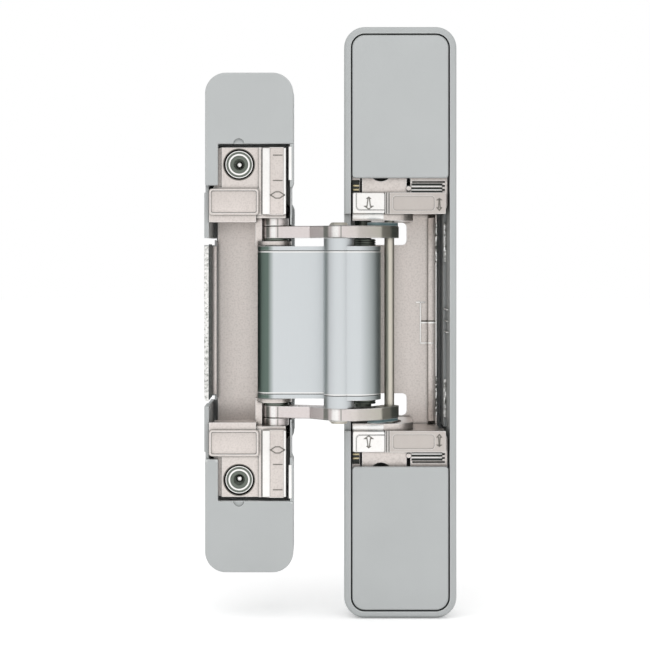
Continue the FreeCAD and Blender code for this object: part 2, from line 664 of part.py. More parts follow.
def frame_bar():
    """Upper front bar of the frame carrier, right of the release slider."""
    bar = box(BAR_SPLIT + SLIDE_FIT, bar_right, BAR_FRONT, BAR_FRONT + BAR_THICKNESS, bar_low, bar_high)
    for start in BAR_LINES:
        bar = bar.cut(box(BAR_SPLIT + start, BAR_SPLIT + start + BAR_LINE, 0, BAR_FRONT + BAR_LINE_DEPTH,
                          bar_low - PAST, bar_high + PAST))
    return bar.cut(rounded_block(BAR_SPLIT + BAR_PANEL_START, bar_right - BAR_PANEL_END,
                                 bar_low + BAR_PANEL_MARGIN, bar_high - BAR_PANEL_MARGIN,
                                 0, BAR_FRONT + BAR_PANEL_DEPTH, BAR_PANEL_MARGIN))


def release_slider():
    """Upper release slider: a push plate with a tongue in the carrier."""
    back = BAR_FRONT + RELEASE_THICKNESS
    plate = rounded_block(frame_left, BAR_SPLIT, bar_low, bar_high, BAR_FRONT, back, LAP)
    plate = softened(plate, RELEASE_LINE)
    tongue_x = (frame_left + BAR_SPLIT) / 2
    tongue_top = bar_high - TONGUE_DROP
    tongue = box(tongue_x - TONGUE_WIDTH / 2, tongue_x + TONGUE_WIDTH / 2, back - LAP, back + TONGUE_DEPTH,
                 tongue_top - TONGUE_HEIGHT, tongue_top)
    left = frame_left + RELEASE_MARGIN
    low = bar_low + RELEASE_MARGIN
    outer = rounded_block(left, BAR_SPLIT + PAST, low, bar_high + PAST,
                          0, BAR_FRONT + RELEASE_LINE_DEPTH, RELEASE_CORNER)
    inner = rounded_block(left + RELEASE_LINE, BAR_SPLIT + 2 * PAST, low + RELEASE_LINE, bar_high + 2 * PAST,
                          0, BAR_FRONT + PAST, RELEASE_CORNER)
    return joined([plate, tongue]).cut(outer.cut(inner))


def block_outline():
    """Plan outline of the link block: flat nose to the door, hump over the centre, heel on the frame pin."""
    nose_top = (SHORT_PIN[0], BLOCK_FLAT + BLOCK_END_RADIUS)
    nose = capsule(nose_top, BLOCK_END_RADIUS, SHORT_PIN, BLOCK_END_RADIUS)
    bar = capsule(nose_top, BLOCK_END_RADIUS, (BLOCK_BAR_END, nose_top[1]), BLOCK_END_RADIUS)
    keel = capsule(SHORT_PIN, BLOCK_END_RADIUS, BLOCK_KEEL_END, BLOCK_END_RADIUS)
    hump = capsule(BLOCK_HUMP, BLOCK_HUMP_RADIUS, FRAME_PIVOT, BLOCK_HEEL_RADIUS)
    shoulder = capsule(CENTRE_PIVOT, BOSS_RADIUS, BLOCK_SHOULDER, BLOCK_SHOULDER_RADIUS)
    return joined([nose, bar, keel, hump, shoulder])


def link_block():
    """Extruded aluminium block between the two leaves, with bores for its three pins."""
    block = plan_plate(block_outline(), -cap_start, cap_start)
    rims = [edge for edge in block.Edges
            if abs(edge.BoundBox.ZMin) > cap_start - SEAT_FIT and edge.BoundBox.ZLength < SEAT_FIT]
    block = block.makeChamfer(BLOCK_GROOVE, rims)
    frame_bore = rod_z(FRAME_PIVOT, FRAME_PIN_RADIUS + RUNNING_FIT, -BLOCK_HALF, BLOCK_HALF)
    short_bore = rod_z(SHORT_PIN, SHORT_PIN_RADIUS + SEAT_FIT, -BLOCK_HALF, BLOCK_HALF)
    centre_bore = rod_z(CENTRE_PIVOT, CENTRE_PIN_RADIUS + SEAT_FIT, BLOCK_HALF - RIVET_DEPTH, BLOCK_HALF)
    return cut_both(block.cut([frame_bore, short_bore]), centre_bore)


def block_cap():
    """Upper end cap of the link block with the boss that the arm turns on."""
    cap = plan_plate(block_outline(), cap_start, BLOCK_HALF)
    boss_end = BLOCK_HALF + BOSS_HEIGHT
    boss = rod_z(CENTRE_PIVOT, BOSS_RADIUS, cap_start, boss_end)
    bores = [rod_z(FRAME_PIVOT, FRAME_PIN_RADIUS + RUNNING_FIT, cap_start - PAST, boss_end + PAST),
             rod_z(CENTRE_PIVOT, CENTRE_PIN_RADIUS + SEAT_FIT, cap_start - PAST, boss_end + PAST),
             rod_z(SHORT_PIN, SHORT_PIN_RADIUS + SEAT_FIT, cap_start - PAST, boss_end + PAST)]
    return joined([cap, boss]).cut(bores)


def centre_rivet():
    """Upper centre rivet: shank in the block and a low domed head on the arm."""
    head_start = arm_end + RUNNING_FIT
    shank = rod_z(CENTRE_PIVOT, CENTRE_PIN_RADIUS, BLOCK_HALF - RIVET_DEPTH + SLIDE_FIT, head_start)
    head = Part.makeCone(RIVET_HEAD_RADIUS, RIVET_HEAD_RADIUS - RIVET_HEAD_BEVEL, RIVET_HEAD_HEIGHT,
                         vector(CENTRE_PIVOT[0], CENTRE_PIVOT[1], head_start))
    return joined([shank, head])


def short_guide_pin():
    """Pin in the nose of the link block, whose ends slide in the door carrier's guide plates."""
    return rod_z(SHORT_PIN, SHORT_PIN_RADIUS, -door_guide_end, door_guide_end)


def arm_outline():
    """Plan outline of a steel arm: straight to the door pin, a lobe at the centre, arched to the long pin."""
    straight = capsule(DOOR_PIVOT, ARM_END_RADIUS, ARM_MIDDLE, ARM_MIDDLE_RADIUS)
    rise = capsule(ARM_MIDDLE, ARM_MIDDLE_RADIUS, CENTRE_PIVOT, ARM_LOBE_RADIUS)
    lobe = capsule(CENTRE_PIVOT, ARM_LOBE_RADIUS, ARM_ARCH, ARM_ARCH_RADIUS)
    arch = capsule(ARM_ARCH, ARM_ARCH_RADIUS, ARM_KNEE, ARM_TIP_RADIUS)
    tip = capsule(ARM_KNEE, ARM_TIP_RADIUS, LONG_PIN, ARM_TIP_RADIUS)
    return joined([straight, rise, lobe, arch, tip])


def steel_arm():
    """Upper steel arm, stamped from plate, with its three holes."""
    arm = plan_plate(arm_outline(), arm_start, arm_end)
    upper_rim = [edge for edge in arm.Edges
                 if edge.BoundBox.ZMin > arm_end - SEAT_FIT and edge.BoundBox.ZLength < SEAT_FIT]
    arm = arm.makeChamfer(ARM_EDGE, upper_rim)
    return arm.cut([rod_z(DOOR_PIVOT, DOOR_PIN_RADIUS + RUNNING_FIT, arm_start - PAST, arm_end + PAST),
                    rod_z(CENTRE_PIVOT, CENTRE_PIN_RADIUS + RUNNING_FIT, arm_start - PAST, arm_end + PAST),
                    rod_z(LONG_PIN, LONG_PIN_RADIUS + SEAT_FIT, arm_start - PAST, arm_end + PAST)])


def long_guide_pin():
    """Long pin through both arm tips, whose ends slide in the frame carrier's guide plates."""
    reach = guide_end - LONG_PIN_SHORT
    return rod_z(LONG_PIN, LONG_PIN_RADIUS, -reach, reach)


def guide_shoe():
    """Upper plastic slip plate between the arm tip and the guide plate."""
    face = capsule(LONG_PIN, SHOE_RADIUS, ARM_KNEE, SHOE_RADIUS - SHOE_TAPER)
    shoe = plan_plate(face, arm_end, arm_end + SHOE_THICKNESS)
    return shoe.cut(rod_z(LONG_PIN, LONG_PIN_RADIUS + SEAT_FIT, arm_start, guide_start))


def frame_pivot_pin():
    """Pin held in both guide plates, on which the link block turns."""
    return rod_z(FRAME_PIVOT, FRAME_PIN_RADIUS, -guide_end, guide_end)


def sleeve(centre, inner, outer, z0, z1):
    """A plain sleeve on a pin."""
    return rod_z(centre, outer, z0, z1).cut(rod_z(centre, inner, z0 - PAST, z1 + PAST))


def frame_spacer():
    """Upper sleeve on the frame pin between the block and the guide plate."""
    return sleeve(FRAME_PIVOT, FRAME_PIN_RADIUS + SEAT_FIT, FRAME_PIN_RADIUS + SPACER_WALL,
                  BLOCK_HALF + SPACER_GAP, guide_start)


def door_wall_cuts():
    """Cutters that open the door leaf's side walls for the covers, the links and the lateral travel."""
    left = door_left - DOOR_BULGE - PAST
    right = DOOR_RIGHT + PAST
    cuts = [box(left, right, -PAST, COVER_SKIN + DOOR_WALL_GAP, door_cover_start, door_half + PAST),
            box(left, carrier_left - TRAVEL_GAP, -PAST, door_back + PAST,
                door_guide_start + SLIDE_FIT, arm_start),
            box(left, door_inner_left + SEAT_FIT, -PAST, door_wall_front, -PAST, door_cover_start),
            box(door_inner_right - SEAT_FIT, right, -PAST, DOOR_LINK_NOTCH, -PAST, arm_end + DOOR_LINK_GAP),
            box(door_inner_right - SEAT_FIT, right, DOOR_PIVOT[1] - BUSH_RADIUS - TRAVEL_GAP, DOOR_LINK_NOTCH,
                0, door_plate_start + DOOR_GUIDE_GAP)]
    waist = front_plate([(right, 0, LAP), (DOOR_RIGHT - DOOR_WAIST, 0, SEAT_FIT),
                         (DOOR_RIGHT - DOOR_WAIST, pad_low, SEAT_FIT),
                         (DOOR_RIGHT + SEAT_FIT, pad_low + DOOR_WAIST_TAPER, SEAT_FIT),
                         (right, pad_low + DOOR_WAIST_TAPER, SEAT_FIT)], -PAST, DOOR_LINK_NOTCH)
    waist_front = box(door_inner_right - SEAT_FIT, right, -PAST, DOOR_WAIST_FRONT, 0, pad_low)
    return cuts + [waist, waist_front]


def door_case():
    """Case of the door leaf: two shallow end sections and a deep middle pocket open to the links."""
    ends = rounded_block(door_left, DOOR_RIGHT, -door_half, door_half, 0, DOOR_END_DEPTH, DOOR_CORNER)
    middle = rounded_block(door_left, DOOR_RIGHT, -door_mid_half, door_mid_half, 0, door_back,
                           DOOR_MID_CORNER)
    bulge_half = door_mid_half + DOOR_BULGE_RISE
    bulge = rounded_block(door_left - DOOR_BULGE, door_left + LAP, -bulge_half, bulge_half, 0, DOOR_END_DEPTH,
                          DOOR_BULGE)
    case = joined([ends, middle, bulge])
    inner_half = door_half - DOOR_WALL
    case = case.cut(rounded_block(door_inner_left, door_inner_right, -inner_half, inner_half,
                                  -PAST, door_end_floor, DOOR_CORNER - DOOR_WALL))
    pocket_half = door_mid_half - DOOR_WALL
    case = case.cut(rounded_block(door_inner_left, door_inner_right, -pocket_half, pocket_half,
                                  -PAST, door_pocket_floor, DOOR_MID_CORNER - DOOR_WALL))
    ledge_half = door_guide_end
    ledge_right = door_inner_left + DOOR_LEDGE_WIDTH
    ledge = front_plate([(door_inner_left - LAP, -ledge_half - DOOR_LEDGE_WIDTH, DOOR_LEDGE_GAP),
                         (ledge_right, -ledge_half, DOOR_LEDGE_GAP),
                         (ledge_right, ledge_half, DOOR_LEDGE_GAP),
                         (door_inner_left - LAP, ledge_half + DOOR_LEDGE_WIDTH, DOOR_LEDGE_GAP)],
                        DOOR_LEDGE_DEPTH, DOOR_FLOOR_DEPTH - DOOR_LEDGE_GAP)
    case = case.fuse(ledge)
    for cutter in door_wall_cuts():
        case = cut_both(case, cutter)
    cam_z = adjust_z + cam_offset
    slot_half = CAM_RADIUS + SLIDE_FIT
    slot_reach = CAM_RADIUS + CAM_SLOT_SPARE
    case = cut_both(case, rounded_block(adjust_x - slot_half, adjust_x + slot_half,
                                        cam_z - slot_reach, cam_z + slot_reach,
                                        door_end_floor - PAST, DOOR_END_DEPTH + PAST, CAM_RADIUS))
    for z in door_holes:
        case = cut_both(case, fixing_hole(door_middle, z, door_end_floor, DOOR_END_DEPTH))
    return case


def door_cover():
    """Upper plastic cover of the door leaf with its side strip, a pry notch and two snap legs."""
    strip_right = door_left + DOOR_STRIP_WIDTH
    back = COVER_SKIN + DOOR_WALL_GAP
    lid = front_plate([(door_left, door_strip_end, DOOR_COVER_CORNER),
                       (strip_right, door_strip_end, DOOR_COVER_CORNER),
                       (strip_right, door_cover_start, DOOR_COVER_CORNER),
                       (DOOR_RIGHT, door_cover_start, DOOR_COVER_CORNER),
                       (DOOR_RIGHT, door_half, DOOR_CORNER), (door_left, door_half, DOOR_CORNER)], 0, back)
    lid = softened(lid, DOOR_COVER_CORNER - SEAT_FIT)
    legs = cover_legs((door_left + LEG_INSET, DOOR_RIGHT - LEG_INSET), DOOR_LEG_WIDTH, sum(door_holes) / 2,
                      DOOR_LEG_THICKNESS / 2, back - LAP, door_end_floor - LEG_GAP)
    return joined([lid] + legs).cut(rod_y(adjust_x, door_cover_start, PRY_RADIUS, -PAST, PRY_DEPTH))


def door_plates():
    """Upper half of the door carrier's plates that hold the door pin and guide the short pin."""
    back = DOOR_FLOOR_DEPTH + LAP
    plate = box(DOOR_PLATE_LEFT, carrier_right, DOOR_PLATE_FRONT, back, door_plate_start, door_plate_end)
    lug_end = (DOOR_GUIDE_NOSE[0], DOOR_GUIDE_NOSE[1] + DOOR_GUIDE_LENGTH)
    lug = plan_plate(capsule(DOOR_GUIDE_NOSE, DOOR_GUIDE_RADIUS, lug_end, DOOR_GUIDE_RADIUS),
                     door_guide_start, door_guide_end)
    guide = box(DOOR_GUIDE_NOSE[0] - DOOR_GUIDE_RADIUS, carrier_right, DOOR_GUIDE_NOSE[1], back,
                door_guide_start, door_guide_end)
    column = box(COLUMN_RIGHT - COLUMN_WIDTH, COLUMN_RIGHT, COLUMN_FRONT, back,
                 door_guide_start, door_plate_end)
    plates = joined([plate, lug, guide, column])
    return plates.cut(guide_slot(short_pin_place, SHORT_PIN_RADIUS + RUNNING_FIT, SHORT_RUN_COUNT,
                                 door_guide_start - PAST, door_guide_end + DOOR_GUIDE_GAP))


def door_nameplate():
    """Bare framed plate below the screw pad, which reaches over the case's wall."""
    back = NAMEPLATE_FRONT + NAMEPLATE_THICKNESS
    plate = rounded_block(nameplate_left, PAD_RIGHT, nameplate_low, nameplate_high,
                          NAMEPLATE_FRONT, back, NAMEPLATE_CORNER)
    plate = softened(plate, NAMEPLATE_RECESS)
    return plate.cut(rounded_block(nameplate_left + NAMEPLATE_FRAME, PAD_RIGHT - NAMEPLATE_FRAME,
                                   nameplate_low + NAMEPLATE_FRAME, nameplate_high - NAMEPLATE_FRAME,
                                   0, NAMEPLATE_FRONT + NAMEPLATE_RECESS, NAMEPLATE_FRAME))


def door_carrier():
    """Die-cast carrier of the door leaf: floor, plates, nameplate, screw pads and raised bars."""
    floor = box(carrier_left, carrier_right, DOOR_FLOOR_DEPTH, door_floor_back,
                -door_plate_end, door_plate_end)
    end_wall = box(carrier_left, carrier_right, PAD_FRONT, door_floor_back,
                   nameplate_low, nameplate_low + DOOR_END_WALL)
    block = box(carrier_left, carrier_right, PAD_FRONT, CARRIER_BACK, nameplate_low, pad_high)
    block = block.cut(box(carrier_left - PAST, pad_left, -PAST, PAD_FRONT + PAD_RELIEF,
                          pad_low, pad_high + PAST))
    plate_back = NAMEPLATE_FRONT + NAMEPLATE_THICKNESS
    seat = box(carrier_left, PAD_RIGHT, plate_back - BAR_LAP, PAD_FRONT + LAP, nameplate_low, nameplate_high)
    lip_low = nameplate_low - LIP_HEIGHT
    lip_high = nameplate_low + LAP
    lip_right = DOOR_PLATE_LEFT + LAP
    lip = box(carrier_left, lip_right, plate_back - BAR_LAP, LIP_DEPTH, lip_low, lip_high)
    lip_front = box(nameplate_left, lip_right, LIP_FRONT, plate_back, lip_low, lip_high)
    ridge = box(PAD_RIGHT, PAD_RIGHT + RIDGE_WIDTH, PAD_FRONT - RIDGE_HEIGHT, PAD_FRONT + LAP,
                nameplate_low, pad_high)
    bar = plan_polygon([(DOOR_BAR_LEFT, PAD_FRONT + LAP),
                        (DOOR_BAR_LEFT, BAR_FRONT + DOOR_BAR_STEP),
                        (DOOR_BAR_LEFT + DOOR_BAR_BEVEL, BAR_FRONT),
                        (carrier_right - DOOR_BAR_EDGE, BAR_FRONT),
                        (carrier_right, BAR_FRONT + DOOR_BAR_EDGE),
                        (carrier_right, PAD_FRONT + LAP)],
                       door_plate_end - PAD_GAP, pad_high)
    end = joined([end_wall, block, seat, lip, lip_front, door_nameplate(), ridge, bar, door_plates()])
    end = end.cut(rod_z(DOOR_PIVOT, DOOR_PIN_RADIUS + SEAT_FIT,
                        door_plate_start - PAST, door_plate_end + SEAT_FIT))
    end = end.cut(rod_y(adjust_x, adjust_z, ADJUST_HEAD_RADIUS + ADJUST_BORE_GAP,
                        0, adjust_head_back + SEAT_FIT))
    end = end.cut(rod_y(adjust_x, adjust_z, ADJUST_SHANK_RADIUS + RUNNING_FIT, 0, CARRIER_BACK + PAST))
    return joined([floor, end, mirrored(end)])


def door_pivot_pin():
    """Upper door pin: a head under the arm and a shank held in the carrier's plate."""
    head_end = arm_start - ARM_GAP
    head = rod_z(DOOR_PIVOT, PIN_HEAD_RADIUS, head_end - PIN_HEAD_HEIGHT, head_end)
    shank = rod_z(DOOR_PIVOT, DOOR_PIN_RADIUS, head_end - PIN_HEAD_HEIGHT / 2, door_plate_end)
    return joined([head, shank])


def door_bush():
    """Upper steel bush on the door pin between the arm and the carrier's plate."""
    return sleeve(DOOR_PIVOT, DOOR_PIN_RADIUS + SEAT_FIT, BUSH_RADIUS, arm_end + ARM_GAP, door_plate_start)


def adjust_screw():
    """Upper eccentric adjusting screw: bevelled socket head in the pad and a cam pin in the case floor."""
    bevel_back = adjust_head_front + ADJUST_HEAD_BEVEL
    bevel = cone_y(adjust_x, adjust_z, ADJUST_HEAD_RADIUS - ADJUST_HEAD_BEVEL, ADJUST_HEAD_RADIUS,
                   adjust_head_front, bevel_back)
    head = rod_y(adjust_x, adjust_z, ADJUST_HEAD_RADIUS, bevel_back, adjust_head_back)
    shank = rod_y(adjust_x, adjust_z, ADJUST_SHANK_RADIUS, adjust_head_back - LAP, CARRIER_BACK)
    cam = rod_y(adjust_x, adjust_z + cam_offset, CAM_RADIUS, CARRIER_BACK - LAP, DOOR_END_DEPTH - CAM_SHORT)
    corner = ADJUST_HEX_FLATS / math.sqrt(3)
    points = []
    for index in range(7):
        angle = math.radians(60 * index)
        x = adjust_x + corner * math.cos(angle)
        points.append(vector(x, adjust_head_front, adjust_z + corner * math.sin(angle)))
    socket = Part.Face(Part.makePolygon(points)).extrude(vector(0, ADJUST_HEX_DEPTH, 0))
    mouth = cone_y(adjust_x, adjust_z, corner + ADJUST_HEX_SINK, corner - ADJUST_HEX_SINK, adjust_head_front,
                   adjust_head_front + 2 * ADJUST_HEX_SINK)
    tip_front = adjust_head_front + ADJUST_HEX_DEPTH
    drill_tip = cone_y(adjust_x, adjust_z, ADJUST_HEX_FLATS / 2, SEAT_FIT,
                       tip_front, tip_front + ADJUST_HEX_FLATS / 4)
    return joined([bevel, head, shank, cam]).cut([socket, mouth, drill_tip])


def pieces():
    """Every piece of the hinge by its name."""
    parts = {
        "frame_case": frame_case(),
        "frame_carrier": frame_carrier(),
        "link_block": link_block(),
        "short_guide_pin": short_guide_pin(),
        "long_guide_pin": long_guide_pin(),
        "frame_pivot_pin": frame_pivot_pin(),
        "door_case": door_case(),
        "door_carrier": door_carrier(),
    }
    pairs = {
        "frame_cover": frame_cover(), "frame_bar": frame_bar(), "release_slider": release_slider(),
        "block_cap": block_cap(), "centre_rivet": centre_rivet(), "steel_arm": steel_arm(),
        "guide_shoe": guide_shoe(), "frame_spacer": frame_spacer(), "door_cover": door_cover(),
        "door_pivot_pin": door_pivot_pin(), "door_bush": door_bush(),
        "clamp_screw": clamp_screw(), "adjust_screw": adjust_screw(),
    }
    for name, shape in pairs.items():
        parts[name + "_top"] = shape
        parts[name + "_bottom"] = mirrored(shape)
    return parts


print("turns of the frame, centre and door pivots:", block_swing, arm_swing, door_swing)
os.makedirs("parts", exist_ok=True)
for name, shape in pieces().items():
    shape.translate(vector(0, -FRAME_END_DEPTH, 0))
    print(name, "solids", len(shape.Solids), "valid", shape.isValid(), "volume", round(shape.Volume, 2))
    shape.exportStep("parts/" + name + ".step")
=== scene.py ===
import json
import logging
import math
from collections.abc import Callable
from dataclasses import dataclass, replace
from enum import Enum

import bmesh
import bpy
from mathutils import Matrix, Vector


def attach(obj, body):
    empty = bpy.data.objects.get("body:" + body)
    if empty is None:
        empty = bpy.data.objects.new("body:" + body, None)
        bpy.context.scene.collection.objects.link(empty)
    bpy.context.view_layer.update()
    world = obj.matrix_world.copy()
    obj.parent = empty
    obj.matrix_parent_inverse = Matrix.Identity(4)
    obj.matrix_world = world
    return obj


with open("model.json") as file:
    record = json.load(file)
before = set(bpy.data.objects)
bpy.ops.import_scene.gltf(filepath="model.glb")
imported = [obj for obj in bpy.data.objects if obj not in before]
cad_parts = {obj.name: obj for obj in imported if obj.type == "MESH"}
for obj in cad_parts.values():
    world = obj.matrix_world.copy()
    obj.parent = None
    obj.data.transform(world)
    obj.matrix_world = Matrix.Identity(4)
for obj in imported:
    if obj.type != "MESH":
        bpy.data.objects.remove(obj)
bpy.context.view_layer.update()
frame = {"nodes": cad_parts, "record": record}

# Concealed door hinge, open at 180 degrees, seen square on with both leaves facing the camera.
# Everything is in metres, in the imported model's frame: X from the door leaf to the frame leaf,
# Y into the mortises, Z up. Sizes in the classes below are in millimetres, turned to metres by
# MM, apart from the lamps and the fields that end in _m.

MM = 0.001
LOG = logging.getLogger("hinge")
Span = tuple[float, float]
Triple = tuple[float, float, float]
Materials = dict[str, bpy.types.Material]

# The two ends of the hinge, with the sign of their heights.
ENDS = (("top", 1.0), ("bottom", -1.0))

# Depths of the faces that new pieces lie on.
RIM_FACE = -13.0
BAR_FACE = -12.7
GRAIN_FACE = -12.76
NAMEPLATE_FACE = -12.45
CHAMFER_FACE = -12.3
TURN_FACE = -12.2
DOOR_WALL_EDGE = -11.4
PAD_FACE = -11.2
HEAD_FACE = -10.7
LIP_FACE = -10.6
ROD_FLOOR = -9.75
ROD_BACK = -9.55
RIB_FLOOR = -9.6
SOCKET_FLOOR = -8.4
WALL_SHADE_FOOT = 0.9
WALL_FOOT = 1.0
POCKET_SHELF = 7.8
POCKET_FLOOR = 9.5

# Height and bevel of the thin lines.
LINE_HEIGHT = 0.08
LINE_EDGE = 0.02

# The part of a noise's range where most of its values lie.
NOISE_SPAN: Span = (0.3, 0.7)


def band(middle: float, half: float) -> Span:
    """A span about its middle."""
    return middle - half, middle + half


class Value:
    """What one shader socket gives, with Python's operators as Math nodes."""

    def __init__(self, graph: "Graph", socket: bpy.types.NodeSocket) -> None:
        """Keeps the graph and the socket that gives the value."""
        self.graph = graph
        self.socket = socket

    def _math(self, operation: str, first: object, second: object = None) -> "Value":
        """Adds one Math node.

        Args:
            operation: The Math node's operation.
            first: The first operand, a Value or a number.
            second: The second operand, if the operation takes one.

        Returns:
            The node's result.
        """
        operands = {0: first} if second is None else {0: first, 1: second}
        return self.graph.node("ShaderNodeMath", {"operation": operation}, operands)

    def __add__(self, other: object) -> "Value":
        """Sum."""
        return self._math("ADD", self, other)

    def __sub__(self, other: object) -> "Value":
        """Difference."""
        return self._math("SUBTRACT", self, other)

    def __rsub__(self, other: object) -> "Value":
        """Difference with a number on the left."""
        return self._math("SUBTRACT", other, self)

    def __mul__(self, other: object) -> "Value":
        """Product."""
        return self._math("MULTIPLY", self, other)

    def __rmul__(self, other: object) -> "Value":
        """Product with a number on the left."""
        return self._math("MULTIPLY", other, self)

    def size(self) -> "Value":
        """The value without its sign."""
        return self._math("ABSOLUTE", self)

    def held(self) -> "Value":
        """The value kept between 0 and 1."""
        return self.graph.node("ShaderNodeClamp", {}, {"Value": self})

    def spread(self, low: float, high: float, to_low: float = 0.0, to_high: float = 1.0) -> "Value":
        """The value carried from one range to another, and held there.

        Args:
            low: Where the given range starts.
            high: Where the given range ends.
            to_low: What the start becomes.
            to_high: What the end becomes.

        Returns:
            The carried value.
        """
        ranges = {"Value": self, "From Min": low, "From Max": high,
                  "To Min": to_low, "To Max": to_high}
        return self.graph.node("ShaderNodeMapRange", {"clamp": True}, ranges)


class Graph:
    """A node tree, with one method that adds any node."""

    def __init__(self, tree: bpy.types.NodeTree) -> None:
        """Keeps the tree."""
        self.tree = tree

    def node(self, kind: str, settings: dict, inputs: dict, output: object = 0) -> Value:
        """Adds a node of any type.

        Args:
            kind: The node's type.
            settings: Its own settings, set before its sockets.
            inputs: Values or links for its input sockets, by name or number.
            output: The output socket to give back, by name or number.

        Returns:
            The value of that output socket.
        """
        made = self.tree.nodes.new(kind)
        for key, setting in settings.items():
            setattr(made, key, setting)
        for key, value in inputs.items():
            self.link(made.inputs[key], value)
        return Value(self, made.outputs[output])

    def link(self, socket: bpy.types.NodeSocket, value: object) -> None:
        """Links a Value to a socket, or sets the socket to a plain value."""
        if isinstance(value, Value):
            self.tree.links.new(value.socket, socket)
        elif isinstance(value, tuple) and len(value) == 3 and socket.type == "RGBA":
            socket.default_value = (*value, 1.0)
        else:
            socket.default_value = value


class Skin(Graph):
    """One material's nodes, around a Principled shader."""

    OCCLUSION_SAMPLES = 6
    BEVEL_SAMPLES = 4
    RIM_SPAN: Span = (0.55, 0.95)
    CREASE_SPAN: Span = (0.35, 0.9)

    def __init__(self, name: str) -> None:
        """Makes the material with an empty Principled shader."""
        self.material = bpy.data.materials.new(name)
        self.material.use_nodes = True
        super().__init__(self.material.node_tree)
        self.shader = self.tree.nodes["Principled BSDF"]

    def place(self) -> Value:
        """The point's place in the object, in metres."""
        return self.node("ShaderNodeTexCoord", {}, {}, "Object")

    def axis(self, name: str) -> Value:
        """One coordinate of the point's place, in metres."""
        return self.node("ShaderNodeSeparateXYZ", {}, {0: self.place()}, name)

    def noise(self, size_mm: float, stretch: Triple = (1.0, 1.0, 1.0), detail: float = 2.0,
              rough: float = 0.5) -> Value:
        """Soft noise with grains of a given size.

        Args:
            size_mm: The rough size of a grain, in millimetres.
            stretch: How much finer the grain is along each axis.
            detail: How many finer layers are added.
            rough: How strong the finer layers are.

        Returns:
            The noise, about 0.5 in the mean.
        """
        scaled = self.node("ShaderNodeMapping", {}, {"Vector": self.place(), "Scale": stretch})
        return self.node("ShaderNodeTexNoise", {}, {
            "Vector": scaled, "Scale": 1.0 / (size_mm * MM), "Detail": detail, "Roughness": rough})

    def blend(self, share: object, first: object, second: object) -> Value:
        """A colour between two, by a share from 0 to 1."""
        return self.node("ShaderNodeMix", {"data_type": "RGBA"}, {0: share, 6: first, 7: second}, 2)

    def rim(self, reach_mm: float) -> Value:
        """One along outer edges, and zero on open faces."""
        settings = {"samples": self.OCCLUSION_SAMPLES, "inside": True, "only_local": True}
        inner = self.node("ShaderNodeAmbientOcclusion", settings, {"Distance": reach_mm * MM}, "AO")
        return inner.spread(*self.RIM_SPAN, 1.0, 0.0)

    def crease(self, reach_mm: float) -> Value:
        """One in inner corners and narrow gaps, and zero on open faces."""
        settings = {"samples": self.OCCLUSION_SAMPLES}
        outer = self.node("ShaderNodeAmbientOcclusion", settings, {"Distance": reach_mm * MM}, "AO")
        return outer.spread(*self.CREASE_SPAN, 1.0, 0.0)

    def soft_edge(self, radius_mm: float) -> Value:
        """The surface's normal with its edges rounded by a small radius."""
        settings = {"samples": self.BEVEL_SAMPLES}
        return self.node("ShaderNodeBevel", settings, {"Radius": radius_mm * MM})

    def bump(self, height: Value, depth_mm: float, normal: Value) -> Value:
        """A normal from a height.

        Args:
            height: The height, from 0 to 1.
            depth_mm: The height of one whole step, in millimetres.
            normal: The normal that the bump is added to.

        Returns:
            The new normal.
        """
        return self.node("ShaderNodeBump", {}, {
            "Height": height, "Distance": depth_mm * MM, "Strength": 1.0, "Normal": normal})

    def finish(self, **sockets: object) -> bpy.types.Material:
        """Feeds the shader's sockets, named with underscores, and gives the material."""
        for name, value in sockets.items():
            self.link(self.shader.inputs[name.replace("_", " ")], value)
        return self.material


class Tone(Enum):
    """Colours of the finishes, as linear red, green and blue."""

    COVER = (0.53, 0.55, 0.55)
    CASE = (0.49, 0.51, 0.51)
    # A painted highlight for the edges of paint, and a painted shade for its creases.
    PAINT_EDGE_HIGHLIGHT = (0.85, 0.87, 0.86)
    PAINT_CREASE_SHADE = (0.10, 0.115, 0.11)
    NICKEL = (0.73, 0.67, 0.635)
    NICKEL_GREEN = (0.66, 0.64, 0.60)
    NICKEL_DULL = (0.55, 0.505, 0.475)
    # Painted shade for the arms' corners and for the dark engraved lines.
    NICKEL_SHADE = (0.20, 0.19, 0.17)
    WHITE_METAL = (0.95, 0.94, 0.92)
    ALUMINIUM = (0.635, 0.665, 0.68)
    # Painted shade for the block's left face, crease and hump side, and for the pins' corners.
    ALUMINIUM_SHADE = (0.10, 0.145, 0.12)
    TEAL_SHADE = (0.045, 0.075, 0.075)
    STEEL = (0.72, 0.66, 0.65)
    STEEL_OLIVE = (0.54, 0.52, 0.45)
    PIN = (0.66, 0.62, 0.54)
    SHOE = (0.09, 0.155, 0.165)
    BRASS = (0.62, 0.54, 0.34)
    SHADE = (0.16, 0.18, 0.155)
    # Painted shade for creases and gaps.
    SHADE_BLACK = (0.03, 0.035, 0.03)

    def scaled(self, share: float) -> Triple:
        """The colour made darker or lighter, up to white."""
        return tuple(min(part * share, 1.0) for part in self.value)


